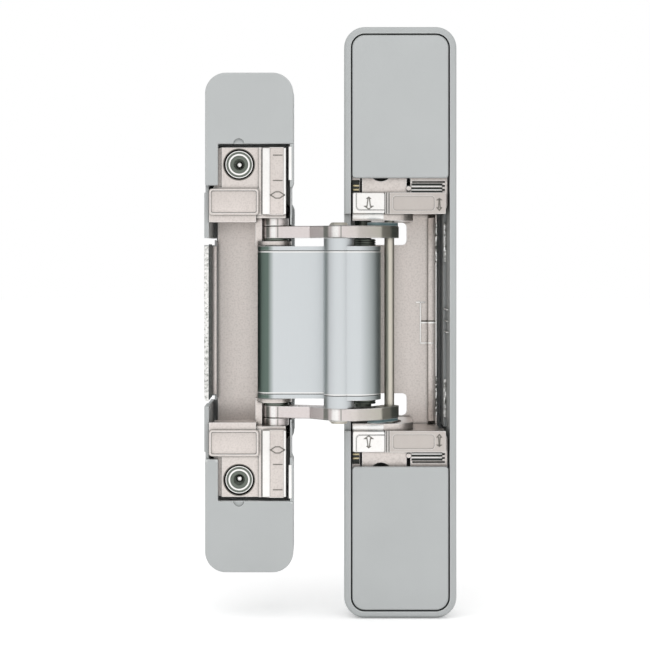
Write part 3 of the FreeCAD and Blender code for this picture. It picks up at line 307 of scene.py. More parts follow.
@dataclass(frozen=True)
class Paint:
    """Satin paint or fine matt moulding: an even colour with a faint pebbled skin, painted
    highlights on its edges and painted shade in its creases.
    """

    name: str
    tone: Tone
    roughness: float = 0.45
    rough_swing: float = 0.04
    grain_mm: float = 0.16
    depth_mm: float = 0.001
    cloud_mm: float = 14.0
    cloud_shares: Span = (0.975, 1.015)
    edge_mm: float = 0.3
    rim_mm: float = 0.3
    rim_share: float = 0.45
    crease_mm: float = 1.2
    crease_share: float = 0.55

    def build(self) -> bpy.types.Material:
        """Makes the material."""
        skin = Skin(self.name)
        grain = skin.noise(self.grain_mm)
        cloud = skin.noise(self.cloud_mm)
        dark, light = (self.tone.scaled(share) for share in self.cloud_shares)
        face = skin.blend(cloud.spread(*NOISE_SPAN), dark, light)
        # Painted highlight along outer edges, then painted shade in inner corners and gaps.
        rim = skin.rim(self.rim_mm) * self.rim_share
        paint_edge_lit = skin.blend(rim, face, Tone.PAINT_EDGE_HIGHLIGHT.value)
        crease = skin.crease(self.crease_mm) * self.crease_share
        colour = skin.blend(crease, paint_edge_lit, Tone.PAINT_CREASE_SHADE.value)
        normal = skin.bump(grain, self.depth_mm, skin.soft_edge(self.edge_mm))
        rough = grain.spread(*NOISE_SPAN, *band(self.roughness, self.rough_swing))
        return skin.finish(Base_Color=colour, Roughness=rough, Normal=normal)


@dataclass(frozen=True)
class Casting:
    """Nickel-plated casting: pale warm satin metal, fine grain, painted highlights on its edges and
    painted shade in its corners.
    """

    name: str
    tone: Tone = Tone.NICKEL
    patch: Tone = Tone.NICKEL_GREEN
    patch_mm: float = 3.4
    patch_stretch: Triple = (1.0, 1.0, 0.6)
    patch_share: float = 0.2
    speck: Tone = Tone.NICKEL_DULL
    speck_span: Span = (0.45, 0.7)
    roughness: float = 0.36
    rough_span: Span = (0.35, 0.65)
    rough_less: float = 0.03
    rough_more: float = 0.04
    grain_mm: float = 0.45
    grain_share: float = 0.6
    depth_mm: float = 0.003
    edge_mm: float = 0.15
    rim_mm: float = 0.22
    rim_share: float = 0.8
    crease_mm: float = 0.9
    crease_share: float = 0.85

    def build(self) -> bpy.types.Material:
        """Makes the material."""
        skin = Skin(self.name)
        grain = skin.noise(self.grain_mm, detail=3.0, rough=0.6)
        cloud = skin.noise(self.patch_mm, stretch=self.patch_stretch, detail=3.0)
        patches = cloud.spread(*NOISE_SPAN, 0.0, self.patch_share)
        face = skin.blend(patches, self.tone.value, self.patch.value)
        specks = grain.spread(*self.speck_span, 0.0, self.grain_share)
        speckled = skin.blend(specks, face, self.speck.value)
        # Painted highlight along outer edges, then painted shade in inner corners and gaps.
        rim = skin.rim(self.rim_mm) * self.rim_share
        edge_lit = skin.blend(rim, speckled, Tone.WHITE_METAL.value)
        crease = skin.crease(self.crease_mm) * self.crease_share
        colour = skin.blend(crease, edge_lit, Tone.SHADE_BLACK.value)
        normal = skin.bump(grain, self.depth_mm, skin.soft_edge(self.edge_mm))
        rough = grain.spread(*self.rough_span, self.roughness - self.rough_less,
                             self.roughness + self.rough_more)
        return skin.finish(Base_Color=colour, Metallic=1.0, Roughness=rough, Normal=normal)


@dataclass(frozen=True)
class Drawn:
    """Metal drawn or turned: faint straight lines along its axis and a satin gloss, painted
    highlights on its edges and painted shade in its corners.
    """

    name: str
    tone: Tone
    dark_share: float = 0.97
    stretch: Triple = (1.0, 1.0, 0.02)
    roughness: float = 0.3
    rough_less: float = 0.03
    rough_more: float = 0.05
    line_mm: float = 0.2
    depth_mm: float = 0.0006
    edge_mm: float = 0.15
    rim_mm: float = 0.2
    rim_share: float = 0.6
    crease_mm: float = 0.8
    crease_share: float = 0.6

    def build(self) -> bpy.types.Material:
        """Makes the material."""
        skin = Skin(self.name)
        lines = skin.noise(self.line_mm, stretch=self.stretch)
        dark = self.tone.scaled(self.dark_share)
        face = skin.blend(lines.spread(*NOISE_SPAN), dark, self.tone.value)
        # Painted highlight along outer edges, then painted shade in inner corners and gaps.
        rim = skin.rim(self.rim_mm) * self.rim_share
        edge_lit = skin.blend(rim, face, Tone.WHITE_METAL.value)
        crease = skin.crease(self.crease_mm) * self.crease_share
        colour = skin.blend(crease, edge_lit, Tone.ALUMINIUM_SHADE.value)
        normal = skin.bump(lines, self.depth_mm, skin.soft_edge(self.edge_mm))
        rough = lines.spread(*NOISE_SPAN, self.roughness - self.rough_less,
                             self.roughness + self.rough_more)
        return skin.finish(Base_Color=colour, Metallic=1.0, Roughness=rough, Normal=normal)


@dataclass(frozen=True)
class Stamped:
    """Stamped steel arm: rosy, turning olive towards its free end, with painted highlight and shade
    bands across it, painted highlights on its edges and painted shade in its corners.
    """

    name: str
    fade_mm: Span = (-15.0, -4.0)
    shade_bands: tuple[Span, ...] = (
        (-31.9, 0.55), (-29.5, 0.16), (-17.9, 0.75), (-14.3, 0.16), (-1.2, 1.3))
    highlight_bands: tuple[Span, ...] = ((-30.6, 0.8), (-15.7, 1.1))
    band_share: float = 0.85
    roughness: float = 0.38
    rough_less: float = 0.05
    rough_more: float = 0.08
    grain_mm: float = 0.3
    grain_stretch: Triple = (0.5, 1.0, 1.0)
    grain_span: Span = (0.45, 0.75)
    grain_share: float = 0.25
    depth_mm: float = 0.004
    edge_mm: float = 0.25
    rim_mm: float = 0.3
    rim_share: float = 0.8
    crease_mm: float = 0.8
    crease_share: float = 0.6

    def build(self) -> bpy.types.Material:
        """Makes the material."""
        skin = Skin(self.name)
        grain = skin.noise(self.grain_mm, stretch=self.grain_stretch, detail=3.0)
        along = skin.axis("X")
        far = along.spread(self.fade_mm[0] * MM, self.fade_mm[1] * MM)
        face = skin.blend(far, Tone.STEEL.value, Tone.STEEL_OLIVE.value)
        # Bands across the arm, light and dark: painted highlights and painted shade.
        for bands, tone in ((self.highlight_bands, Tone.WHITE_METAL), (self.shade_bands, Tone.SHADE)):
            for middle, half in bands:
                away = (along - middle * MM).size()
                near = away.spread(half * 0.5 * MM, half * MM, self.band_share, 0.0)
                face = skin.blend(near, face, tone.value)
        specks = grain.spread(*self.grain_span, 0.0, self.grain_share)
        speckled = skin.blend(specks, face, Tone.NICKEL_DULL.value)
        # Painted highlight along outer edges, then painted shade in inner corners and gaps.
        rim = skin.rim(self.rim_mm) * self.rim_share
        edge_lit = skin.blend(rim, speckled, Tone.WHITE_METAL.value)
        crease = skin.crease(self.crease_mm) * self.crease_share
        colour = skin.blend(crease, edge_lit, Tone.NICKEL_SHADE.value)
        normal = skin.bump(grain, self.depth_mm, skin.soft_edge(self.edge_mm))
        rough = grain.spread(*NOISE_SPAN, self.roughness - self.rough_less,
                             self.roughness + self.rough_more)
        return skin.finish(Base_Color=colour, Metallic=1.0, Roughness=rough, Normal=normal)


@dataclass(frozen=True)
class Extruded:
    """Extruded aluminium block: cool satin, with painted shade on its left face, its crease and the
    right side of its hump, a painted highlight line near each end cap and painted highlights on its
    edges.
    """

    name: str
    left_mm: Span = (-31.8, -30.4)
    left_share: float = 0.95
    turn_mm: Span = (-9.8, -5.0)
    turn_share: float = 0.6
    fold_x: float = -17.9
    fold_reach: float = 0.8
    fold_share: float = 0.5
    glint_z: float = 16.95
    glint_mm: Span = (0.08, 0.2)
    glint_share: float = 0.85
    dark_share: float = 0.975
    roughness: float = 0.42
    rough_less: float = 0.03
    rough_more: float = 0.04
    line_mm: float = 0.25
    line_stretch: Triple = (1.0, 1.0, 0.03)
    depth_mm: float = 0.0006
    edge_mm: float = 0.12
    rim_mm: float = 0.2
    rim_share: float = 0.4
    crease_mm: float = 0.6
    crease_share: float = 0.7

    def build(self) -> bpy.types.Material:
        """Makes the material."""
        skin = Skin(self.name)
        lines = skin.noise(self.line_mm, stretch=self.line_stretch)
        across = skin.axis("X")
        dark = Tone.ALUMINIUM.scaled(self.dark_share)
        flat = skin.blend(lines.spread(*NOISE_SPAN), dark, Tone.ALUMINIUM.value)
        # Painted shade on the left face, on the right side of the hump and along the crease.
        left = across.spread(self.left_mm[0] * MM, self.left_mm[1] * MM, self.left_share, 0.0)
        turn = across.spread(self.turn_mm[0] * MM, self.turn_mm[1] * MM, 0.0, self.turn_share)
        from_fold = (across - self.fold_x * MM).size()
        fold = from_fold.spread(0.0, self.fold_reach * MM, self.fold_share, 0.0)
        shaded = skin.blend((left + fold + turn).held(), flat, Tone.ALUMINIUM_SHADE.value)
        # A painted highlight line near each end cap.
        from_end = (skin.axis("Z").size() - self.glint_z * MM).size()
        glint = from_end.spread(self.glint_mm[0] * MM, self.glint_mm[1] * MM,
                                self.glint_share, 0.0)
        lit = skin.blend(glint, shaded, Tone.WHITE_METAL.value)
        # Painted highlight along outer edges, then painted shade in inner corners and gaps.
        rim = skin.rim(self.rim_mm) * self.rim_share
        edge_lit = skin.blend(rim, lit, Tone.WHITE_METAL.value)
        crease = skin.crease(self.crease_mm) * self.crease_share
        colour = skin.blend(crease, edge_lit, Tone.SHADE_BLACK.value)
        normal = skin.bump(lines, self.depth_mm, skin.soft_edge(self.edge_mm))
        rough = lines.spread(*NOISE_SPAN, self.roughness - self.rough_less,
                             self.roughness + self.rough_more)
        return skin.finish(Base_Color=colour, Metallic=1.0, Roughness=rough, Normal=normal)


# Every finish by its name. A material slot of the record has the finish of the same name.
FINISHES = {finish.name: finish for finish in (
    Paint("case_grey", Tone.CASE),
    Paint("cover_grey", Tone.COVER, edge_mm=0.4),
    Casting("nickel_cast"),
    Casting("nickel_dull", Tone.NICKEL_DULL, roughness=0.4, grain_share=0.5, depth_mm=0.01),
    Casting("nickel_flat", edge_mm=0.03, rim_share=0.0, crease_share=0.3),
    Casting("nickel_bright", Tone.WHITE_METAL, Tone.NICKEL, grain_share=0.1),
    Extruded("block_aluminium"),
    Stamped("arm_steel"),
    Drawn("pin_steel", Tone.PIN, roughness=0.4),
    Paint("shoe_plastic", Tone.SHOE),
    Drawn("screw_steel", Tone.PIN, roughness=0.28),
    # The adjusting screws in a dark tone: painted shade of their sockets.
    Casting("socket_steel", Tone.SHADE, Tone.SHADE, grain_share=0.0, crease_share=0.5,
            rim_share=0.1),
    # Dark lines for engraved outlines, ticks and the pad's bore edge: painted shade.
    Casting("groove_dark", Tone.NICKEL_SHADE, Tone.NICKEL_SHADE, grain_share=0.0, rim_share=0.0,
            edge_mm=0.02),
    # Black for gaps: painted shade.
    Paint("painted_gap_shade", Tone.SHADE_BLACK, rim_share=0.0),
    Casting("ring_dark", Tone.SHADE, Tone.SHADE, crease_share=0.3, grain_share=0.0,
            rim_share=0.0, edge_mm=0.02),
    Casting("ring_bright", Tone.WHITE_METAL, Tone.WHITE_METAL, roughness=0.3, crease_share=0.1,
            grain_share=0.0, edge_mm=0.02),
    # Dark teal for the door leaf's inner wall: painted shade.
    Paint("wall_painted_shade", Tone.TEAL_SHADE, rim_share=0.0, crease_share=0.2),
    Casting("bead_rough", Tone.WHITE_METAL, Tone.SHADE, speck=Tone.SHADE, grain_mm=0.7,
            grain_share=0.85, edge_mm=0.03, crease_mm=0.5, rim_share=0.0),
    Casting("rod_brass", Tone.BRASS, Tone.BRASS, grain_share=0.1, rim_share=0.3),
    Casting("face_grain", patch=Tone.NICKEL_DULL, roughness=0.38, grain_mm=0.34, depth_mm=0.02,
            edge_mm=0.02, rim_share=0.0),
)}

# Nodes whose finish differs from the rest of their slot.
OWN_FINISH = {
    "frame_bar_top": "nickel_dull",
    "frame_bar_bottom": "nickel_dull",
    "adjust_screw_top": "socket_steel",
    "adjust_screw_bottom": "socket_steel",
    "frame_spacer_top": "ring_dark",
    "frame_spacer_bottom": "ring_dark",
    "door_pivot_pin_top": "ring_dark",
    "door_pivot_pin_bottom": "ring_dark",
}


@dataclass
class Wardrobe:
    """Gives every CAD node the finish of its material slot."""

    finishes: dict

    def __post_init__(self) -> None:
        """Builds the materials."""
        self.made = {slot: finish.build() for slot, finish in self.finishes.items()}

    def dress(self) -> None:
        """Assigns the materials to the CAD nodes."""
        for part in frame["record"]["subparts"]:
            node = frame["nodes"][part["node"]]
            node.data.materials.clear()
            finish = OWN_FINISH.get(part["node"], part["material_slot"])
            node.data.materials.append(self.made[finish])
            LOG.info("%s has the finish %s", part["node"], finish)


@dataclass(frozen=True)
class Lamp:
    """A soft square lamp: its place and side in metres, and its power in watts."""

    name: str
    place: Triple
    side: float
    power: float

    def hang(self, target: Triple) -> None:
        """Hangs the lamp so that it looks at a point."""
        data = bpy.data.lights.new(self.name, "AREA")
        data.shape = "SQUARE"
        data.size = self.side
        data.energy = self.power
        obj = bpy.data.objects.new(self.name, data)
        bpy.context.scene.collection.objects.link(obj)
        obj.location = self.place
        toward = Vector(target) - Vector(self.place)
        obj.rotation_euler = toward.to_track_quat("-Z", "Y").to_euler()
        obj.visible_glossy = False


@dataclass
class Studio:
    """Pale floor, soft lamps, white surroundings and the camera."""

    distance: float = 450.0
    face_depth: float = -13.0
    middle_x: float = -18.1
    middle_z: float = -0.6
    eye_z: float = 17.0
    view_width: float = 156.0
    clip_end_m: float = 20.0
    floor_z: float = -71.15
    floor_side_m: float = 6.0
    floor_grey: float = 0.9
    floor_glow: float = 0.3
    front: Span = (-0.95, 0.25)
    front_level: Span = (1.0, 0.2)
    room_level: float = 0.66
    low_to_high: Span = (0.7, 1.3)
    white_wall: Span = (0.8, 0.95)
    lamps: tuple[Lamp, ...] = (
        Lamp("key", (-0.25, -0.55, 0.75), 0.9, 2.0),
        Lamp("fill", (0.45, -0.7, 0.15), 0.6, 0.7))

    def camera(self) -> None:
        """Places the camera square on, a little above mid height, with the frame shifted down."""
        data = bpy.data.cameras.new("camera")
        data.lens = data.sensor_width * self.distance / self.view_width
        data.shift_y = (self.middle_z - self.eye_z) / self.view_width
        data.clip_end = self.clip_end_m
        obj = bpy.data.objects.new("camera", data)
        bpy.context.scene.collection.objects.link(obj)
        away = self.face_depth - self.distance
        obj.location = (self.middle_x * MM, away * MM, self.eye_z * MM)
        obj.rotation_euler = (math.pi / 2, 0.0, 0.0)
        bpy.context.scene.camera = obj

    def floor(self) -> None:
        """Lays the pale floor."""
        bpy.ops.object.select_all(action="DESELECT")
        bpy.ops.mesh.primitive_plane_add(size=self.floor_side_m,
                                         location=(0.0, 0.0, self.floor_z * MM))
        plane = bpy.context.object
        plane.name = "floor"
        skin = Skin("floor_paper")
        seen = skin.node("ShaderNodeLightPath", {}, {}, "Is Camera Ray")
        mirrored = skin.node("ShaderNodeLightPath", {}, {}, "Is Glossy Ray")
        skin.finish(Base_Color=(self.floor_grey,) * 3, Roughness=0.9,
                    Emission_Color=(1.0, 1.0, 1.0), Specular_IOR_Level=0.0)
        strength = (seen + mirrored).held() * self.floor_glow
        skin.link(skin.shader.inputs["Emission Strength"], strength)
        plane.data.materials.append(skin.material)

    def world(self) -> None:
        """Makes the surroundings: white to the camera, and a room with darker sides otherwise."""
        world = bpy.data.worlds.new("studio")
        bpy.context.scene.world = world
        world.use_nodes = True
        world.node_tree.nodes.clear()
        graph = Graph(world.node_tree)
        way = graph.node("ShaderNodeTexCoord", {}, {}, "Generated")
        away, up = (graph.node("ShaderNodeSeparateXYZ", {}, {0: way}, axis) for axis in "YZ")
        path = {kind: graph.node("ShaderNodeLightPath", {}, {}, f"Is {kind} Ray")
                for kind in ("Camera", "Glossy", "Transmission")}
        mirror = (path["Glossy"] + path["Transmission"]).held()
        height = up.spread(-1.0, 1.0, *self.low_to_high)
        faded = away.spread(*self.front, *self.front_level)
        room = (faded * mirror + self.room_level * (1.0 - mirror)) * height
        white = (path["Camera"] + mirror * away.spread(*self.white_wall)).held()
        level = white + room * (1.0 - white)
        glow = graph.node("ShaderNodeBackground", {}, {"Color": (1.0, 1.0, 1.0), "Strength": level})
        graph.link(graph.tree.nodes.new("ShaderNodeOutputWorld").inputs["Surface"], glow)

    def build(self) -> None:
        """Sets up the whole studio."""
        self.camera()
        self.floor()
        self.world()
        for lamp in self.lamps:
            lamp.hang((self.middle_x * MM, 0.0, 0.0))
        bpy.context.scene.view_settings.view_transform = "Standard"
        LOG.info("studio is ready")


class Seat(Enum):
    """What a new piece lies on: its body, and the material slot of the solid under it."""

    FRAME_LEAF = ("frame_leaf", "case_grey")
    FRAME_CARRIER = ("frame_carrier", "nickel_cast")
    LINK = ("link", "pin_steel")
    DOOR_CARRIER = ("door_carrier", "nickel_cast")
    DOOR_LEAF = ("door_leaf", "case_grey")
    RELEASE_TOP = ("release_top", "nickel_bright")
    RELEASE_BOTTOM = ("release_bottom", "nickel_bright")
    ADJUST_TOP = ("adjust_top", "screw_steel")
    ADJUST_BOTTOM = ("adjust_bottom", "screw_steel")


class Bench:
    """Hand modelling of one new piece, in edit mode. Sizes are in millimetres."""

    FLAT_ANGLE = 0.01
    SMOOTH_DEGREES = 35.0
    MERGE_DISTANCE = 0.001

    def __init__(self, name: str) -> None:
        """Clears the selection and keeps the name of the piece to come."""
        bpy.ops.object.select_all(action="DESELECT")
        self.name = name
        self.obj = None

    def take(self) -> None:
        """Takes the new primitive, with its place in its mesh, and opens it for editing."""
        bpy.ops.object.transform_apply(location=True, rotation=True, scale=True)
        self.obj = bpy.context.object
        self.obj.name = self.name
        self.obj.data.name = self.name
        bpy.ops.object.mode_set(mode="EDIT")

    def plate(self, wide: Span, high: Span, depth: float) -> "Bench":
        """Starts with a plate that faces the camera.

        Args:
            wide: Its left and right ends.
            high: Its lower and upper ends.
            depth: Its place along Y.

        Returns:
            The bench.
        """
        centre = ((wide[0] + wide[1]) / 2 * MM, depth * MM, (high[0] + high[1]) / 2 * MM)
        bpy.ops.mesh.primitive_plane_add(size=1.0, location=centre,
                                         rotation=(math.pi / 2, 0.0, 0.0))
        bpy.context.object.scale = ((wide[1] - wide[0]) * MM, (high[1] - high[0]) * MM, 1.0)
        self.take()
        return self

    def circle(self, centre: Span, depth: float, radius: float, sides: int = 64) -> "Bench":
        """Starts with an empty circle that faces the camera.

        Args:
            centre: Its centre in X and Z.
            depth: Its place along Y.
            radius: Its radius.
            sides: How many sides it has.

        Returns:
            The bench.
        """
        place = (centre[0] * MM, depth * MM, centre[1] * MM)
        bpy.ops.mesh.primitive_circle_add(vertices=sides, radius=radius * MM, location=place,
                                          rotation=(math.pi / 2, 0.0, 0.0))
        self.take()
        return self

    def pick(self, test: Callable[[Vector], bool]) -> "Bench":
        """Selects the vertices whose place, in millimetres, passes a test."""
        bpy.ops.mesh.select_mode(type="VERT")
        bpy.ops.mesh.select_all(action="DESELECT")
        mesh = bmesh.from_edit_mesh(self.obj.data)
        for vert in mesh.verts:
            vert.select_set(test(vert.co / MM))
        mesh.select_flush_mode()
        bmesh.update_edit_mesh(self.obj.data)
        return self

    def every(self) -> "Bench":
        """Selects the whole piece."""
        bpy.ops.mesh.select_mode(type="FACE")
        bpy.ops.mesh.select_all(action="SELECT")
        return self

    def pull(self, step: Triple, widen: float = 1.0) -> "Bench":
        """Extrudes what is selected.

        Args:
            step: How far it goes.
            widen: How much wider along X it then gets.

        Returns:
            The bench.
        """
        move = {"value": tuple(part * MM for part in step)}
        bpy.ops.mesh.extrude_region_move(TRANSFORM_OT_translate=move)
        return self.widen(widen)

    def widen(self, share: float) -> "Bench":
        """Makes what is selected wider along X, about its own middle."""
        bpy.ops.transform.resize(value=(share, 1.0, 1.0), center_override=self._middle())
        return self

    def pinch(self, share: float) -> "Bench":
        """Makes what is selected lower along Z, about its own middle."""
        bpy.ops.transform.resize(value=(1.0, 1.0, share), center_override=self._middle())
        return self

    def _middle(self) -> Triple:
        """The middle of what is selected, in metres."""
        mesh = bmesh.from_edit_mesh(self.obj.data)
        points = [vert.co for vert in mesh.verts if vert.select]
        return tuple(sum(point[axis] for point in points) / len(points) for axis in range(3))

    def ring(self, centre: Span, depth: float, share: float) -> "Bench":
        """Extrudes the selected circle into a flat ring.

        Args:
            centre: Its centre in X and Z.
            depth: Its place along Y.
            share: The other radius as a share of the first.

        Returns:
            The bench.
        """
        place = (centre[0] * MM, depth * MM, centre[1] * MM)
        bpy.ops.mesh.select_mode(type="EDGE")
        bpy.ops.mesh.select_all(action="SELECT")
        bpy.ops.mesh.extrude_region_move(TRANSFORM_OT_translate={"value": (0.0, 0.0, 0.0)})
        bpy.ops.transform.resize(value=(share, 1.0, share), center_override=place)
        return self

    def fill(self) -> "Bench":
        """Fills the circle with one face."""
        bpy.ops.mesh.select_mode(type="EDGE")
        bpy.ops.mesh.select_all(action="SELECT")
        bpy.ops.mesh.edge_face_add()
        return self

    def outline(self, thickness: float) -> "Bench":
        """Insets the whole face and takes its middle away, which leaves an outline."""
        self.every()
        bpy.ops.mesh.dissolve_limited(angle_limit=self.FLAT_ANGLE)
        self.every()
        bpy.ops.mesh.inset(thickness=thickness * MM)
        bpy.ops.mesh.delete(type="FACE")
        return self

    def raise_up(self, height: float, edge: float = 0.0) -> "Bench":
        """Gives the whole sheet a height towards the camera, with its front edges bevelled.

        Args:
            height: The height.
            edge: The bevel's width.

        Returns:
            The bench.
        """
        self.every()
        move = {"value": (0.0, -height * MM, 0.0)}
        bpy.ops.mesh.extrude_region_move(TRANSFORM_OT_translate=move)
        if edge > 0.0:
            bpy.ops.mesh.region_to_loop()
            bpy.ops.mesh.bevel(offset=edge * MM, segments=2, affect="EDGES")
        return self

    def done(self, material: bpy.types.Material, seat: Seat) -> None:
        """Closes the piece, gives it its finish and its body.

        Args:
            material: The finish.
            seat: What it lies on.
        """
        self.every()
        bpy.ops.mesh.remove_doubles(threshold=self.MERGE_DISTANCE * MM)
        bpy.ops.mesh.normals_make_consistent(inside=False)
        bpy.ops.object.mode_set(mode="OBJECT")
        bpy.ops.object.shade_smooth_by_angle(angle=math.radians(self.SMOOTH_DEGREES))
        self.obj.data.materials.clear()
        self.obj.data.materials.append(material)
        body, slot = seat.value
        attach(self.obj, body)
        LOG.info("%s rides on %s", self.name, body)


@dataclass(frozen=True)
class Laid:
    """What lies on a face that looks at the camera: its ends in X and Z, its depth and its seat."""

    name: str
    wide: Span
    high: Span
    face: float
    seat: Seat

    def at(self, end: str, sign: float) -> "Laid":
        """The same at one end of the hinge, with that end in its name.

        Args:
            end: top or bottom.
            sign: The sign of the heights there.

        Returns:
            The piece at that end.
        """
        low, high = sorted((sign * self.high[0], sign * self.high[1]))
        return replace(self, name=self.name.format(end=end), high=(low, high))


@dataclass(frozen=True)
class Strip(Laid):
    """A flat strip or panel with bevelled front edges."""

    height: float
    finish: str
    edge: float = 0.03

    def lay(self, made: Materials) -> None:
        """Models the strip and dresses it."""
        bench = Bench(self.name).plate(self.wide, self.high, self.face)
        bench.raise_up(self.height, self.edge).done(made[self.finish], self.seat)


@dataclass(frozen=True)
class Beads(Laid):
    """A strip with a rough, broken surface, as a sawn or chipped edge has."""

    seed: int
    lower_seed: int = 0
    step: float = 0.4
    push: float = 0.3
    rise_share: float = 1.4
    side_margin: float = 0.01

    def lay(self, made: Materials) -> None:
        """Models the strip with its own seed at each end, and dresses it."""
        low, top = self.high
        bench = Bench(self.name).plate(self.wide, self.high, self.face)
        bench.raise_up(self.push * self.rise_share)
        rows = int((top - low) / self.step)
        for row in range(1, rows):
            height = (low + (top - low) * row / rows) * MM
            bench.every()
            bpy.ops.mesh.bisect(plane_co=(0.0, 0.0, height), plane_no=(0.0, 0.0, 1.0))
        middle = (self.wide[0] + self.wide[1]) / 2 * MM
        bench.every()
        bpy.ops.mesh.bisect(plane_co=(middle, 0.0, 0.0), plane_no=(1.0, 0.0, 0.0))
        left, right = self.wide[0] + self.side_margin, self.wide[1] - self.side_margin
        bench.pick(lambda p: p.y < self.face - self.push and left < p.x < right)
        seed = self.seed if top > 0.0 else self.lower_seed
        bpy.ops.transform.vertex_random(offset=self.push * MM, uniform=0.2, normal=0.0, seed=seed)
        bench.done(made["bead_rough"], self.seat)


@dataclass
class BarMarks:
    """Arrows on the frame leaf's bars, and the ticks and arrows on the door leaf's bars."""

    made: Materials
    line: float = 0.2
    release_place: Span = (-7.6, 28.85)
    release_halves: Triple = (0.5, 1.24, 0.62)
    bar_place: Span = (9.36, 28.5)
    bar_halves: Triple = (0.3, 0.73, 0.73)
    door_place: Span = (-29.5, 30.6)
    door_half: Span = (1.85, 0.85)
    door_middle_share: float = 0.3
    shaft_half: float = 0.85
    head_long: float = 0.85
    small_long: float = 0.5
    shoulder: float = 0.02
    tip_share: float = 0.02
    neck_share: float = 0.55
    # Ticks as dark lines: painted shade of engraved lines.
    ticks: tuple[Strip, ...] = tuple(
        Strip(f"door_tick_{{end}}_{index}", (-30.6, -28.3), band(height, 0.1), GRAIN_FACE,
              Seat.DOOR_CARRIER, LINE_HEIGHT, "groove_dark", LINE_EDGE)
        for index, height in enumerate((34.1, 40.2)))
    index_lines: tuple = (
        ("index_line", (5.8, 6.12), (-6.0, 4.3), POCKET_FLOOR, "ring_bright"),
        ("index_top", (4.8, 7.1), (4.1, 4.42), POCKET_FLOOR, "ring_bright"),
        ("index_low", (5.8, 7.8), (-6.17, -5.85), POCKET_FLOOR, "ring_bright"),
        ("index_low_shelf", (7.8, 9.2), (-6.08, -5.76), POCKET_SHELF, "ring_bright"),
        # Dark index lines: painted shade of an engraved line.
        ("index_middle", (6.1, 7.8), (-0.64, -0.3), POCKET_FLOOR, "groove_dark"),
        ("index_middle_shelf", (7.8, 9.95), (-0.57, -0.23), POCKET_SHELF, "groove_dark"),
        ("index_light", (6.1, 7.8), (-1.08, -0.7), POCKET_FLOOR, "ring_bright"),
        ("index_light_shelf", (7.8, 9.95), (-1.0, -0.62), POCKET_SHELF, "ring_bright"))

    def arrow(self, name: str, centre: Span, sign: float, seat: Seat, halves: Triple) -> None:
        """Draws an upright arrow with a small and a large head, as an outline.

        Args:
            name: The piece's name.
            centre: Its centre in X and Z.
            sign: 1 if the large head points down, -1 if it points up.
            seat: What it lies on.
            halves: Half the widths of the shaft, the large head and the small head.
        """
        x, z = centre
        shaft, head, small = halves
        bench = Bench(name).plate(band(x, shaft), band(z, self.shaft_half), BAR_FACE)
        bench.pick(lambda p: (p.z - z) * sign < 0.0)
        bench.pull((0.0, 0.0, -self.shoulder * sign), head / shaft)
        bench.pull((0.0, 0.0, -self.head_long * sign), self.tip_share)
        bench.pick(lambda p: abs((p.z - z) * sign - self.shaft_half) < 0.01)
        bench.widen(self.neck_share)
        bench.pull((0.0, 0.0, self.shoulder * sign), small / (shaft * self.neck_share))
        bench.pull((0.0, 0.0, self.small_long * sign), self.tip_share)
        # The outline is a dark line: painted shade of an engraved outline.
        bench.outline(self.line).raise_up(LINE_HEIGHT).done(self.made["groove_dark"], seat)

    def flat_arrow(self, name: str, centre: Span) -> None:
        """Draws a flat double arrow as the outline of a lozenge with a cut middle.

        Args:
            name: The piece's name.
            centre: Its centre in X and Z.
        """
        x, z = centre
        half_wide, half_high = self.door_half
        middle = band(x, half_wide * self.door_middle_share)
        bench = Bench(name).plate(middle, band(z, half_high), GRAIN_FACE)
        for way in (-1.0, 1.0):
            bench.pick(lambda p: (p.x - x) * way > 0.0)
            bench.pull((way * half_wide * (1.0 - self.door_middle_share), 0.0, 0.0))
            bench.pinch(self.tip_share)
        # The outline is a dark line: painted shade of an engraved outline.
        bench.outline(self.line).raise_up(LINE_HEIGHT)
        bench.done(self.made["groove_dark"], Seat.DOOR_CARRIER)

    def build(self) -> None:
        """Draws all marks of both leaves."""
        for end, sign in ENDS:
            release_x, release_z = self.release_place
            self.arrow(f"release_arrow_{end}", (release_x, sign * release_z), sign,
                       Seat[f"RELEASE_{end.upper()}"], self.release_halves)
            bar_x, bar_z = self.bar_place
            self.arrow(f"bar_arrow_{end}", (bar_x, sign * bar_z), sign, Seat.FRAME_CARRIER,
                       self.bar_halves)
            door_x, door_z = self.door_place
            self.flat_arrow(f"door_arrow_{end}", (door_x, sign * door_z))
            for tick in self.ticks:
                tick.at(end, sign).lay(self.made)
        for name, wide, high, face, finish in self.index_lines:
            line = Strip(name, wide, high, face, Seat.FRAME_CARRIER, LINE_HEIGHT, finish,
                         LINE_EDGE)
            line.lay(self.made)


@dataclass(frozen=True)
class Ring:
    """A flat ring: its radii, the depth of the face under it, its height and finish."""

    name: str
    radii: Span
    face: float
    height: float
    finish: str


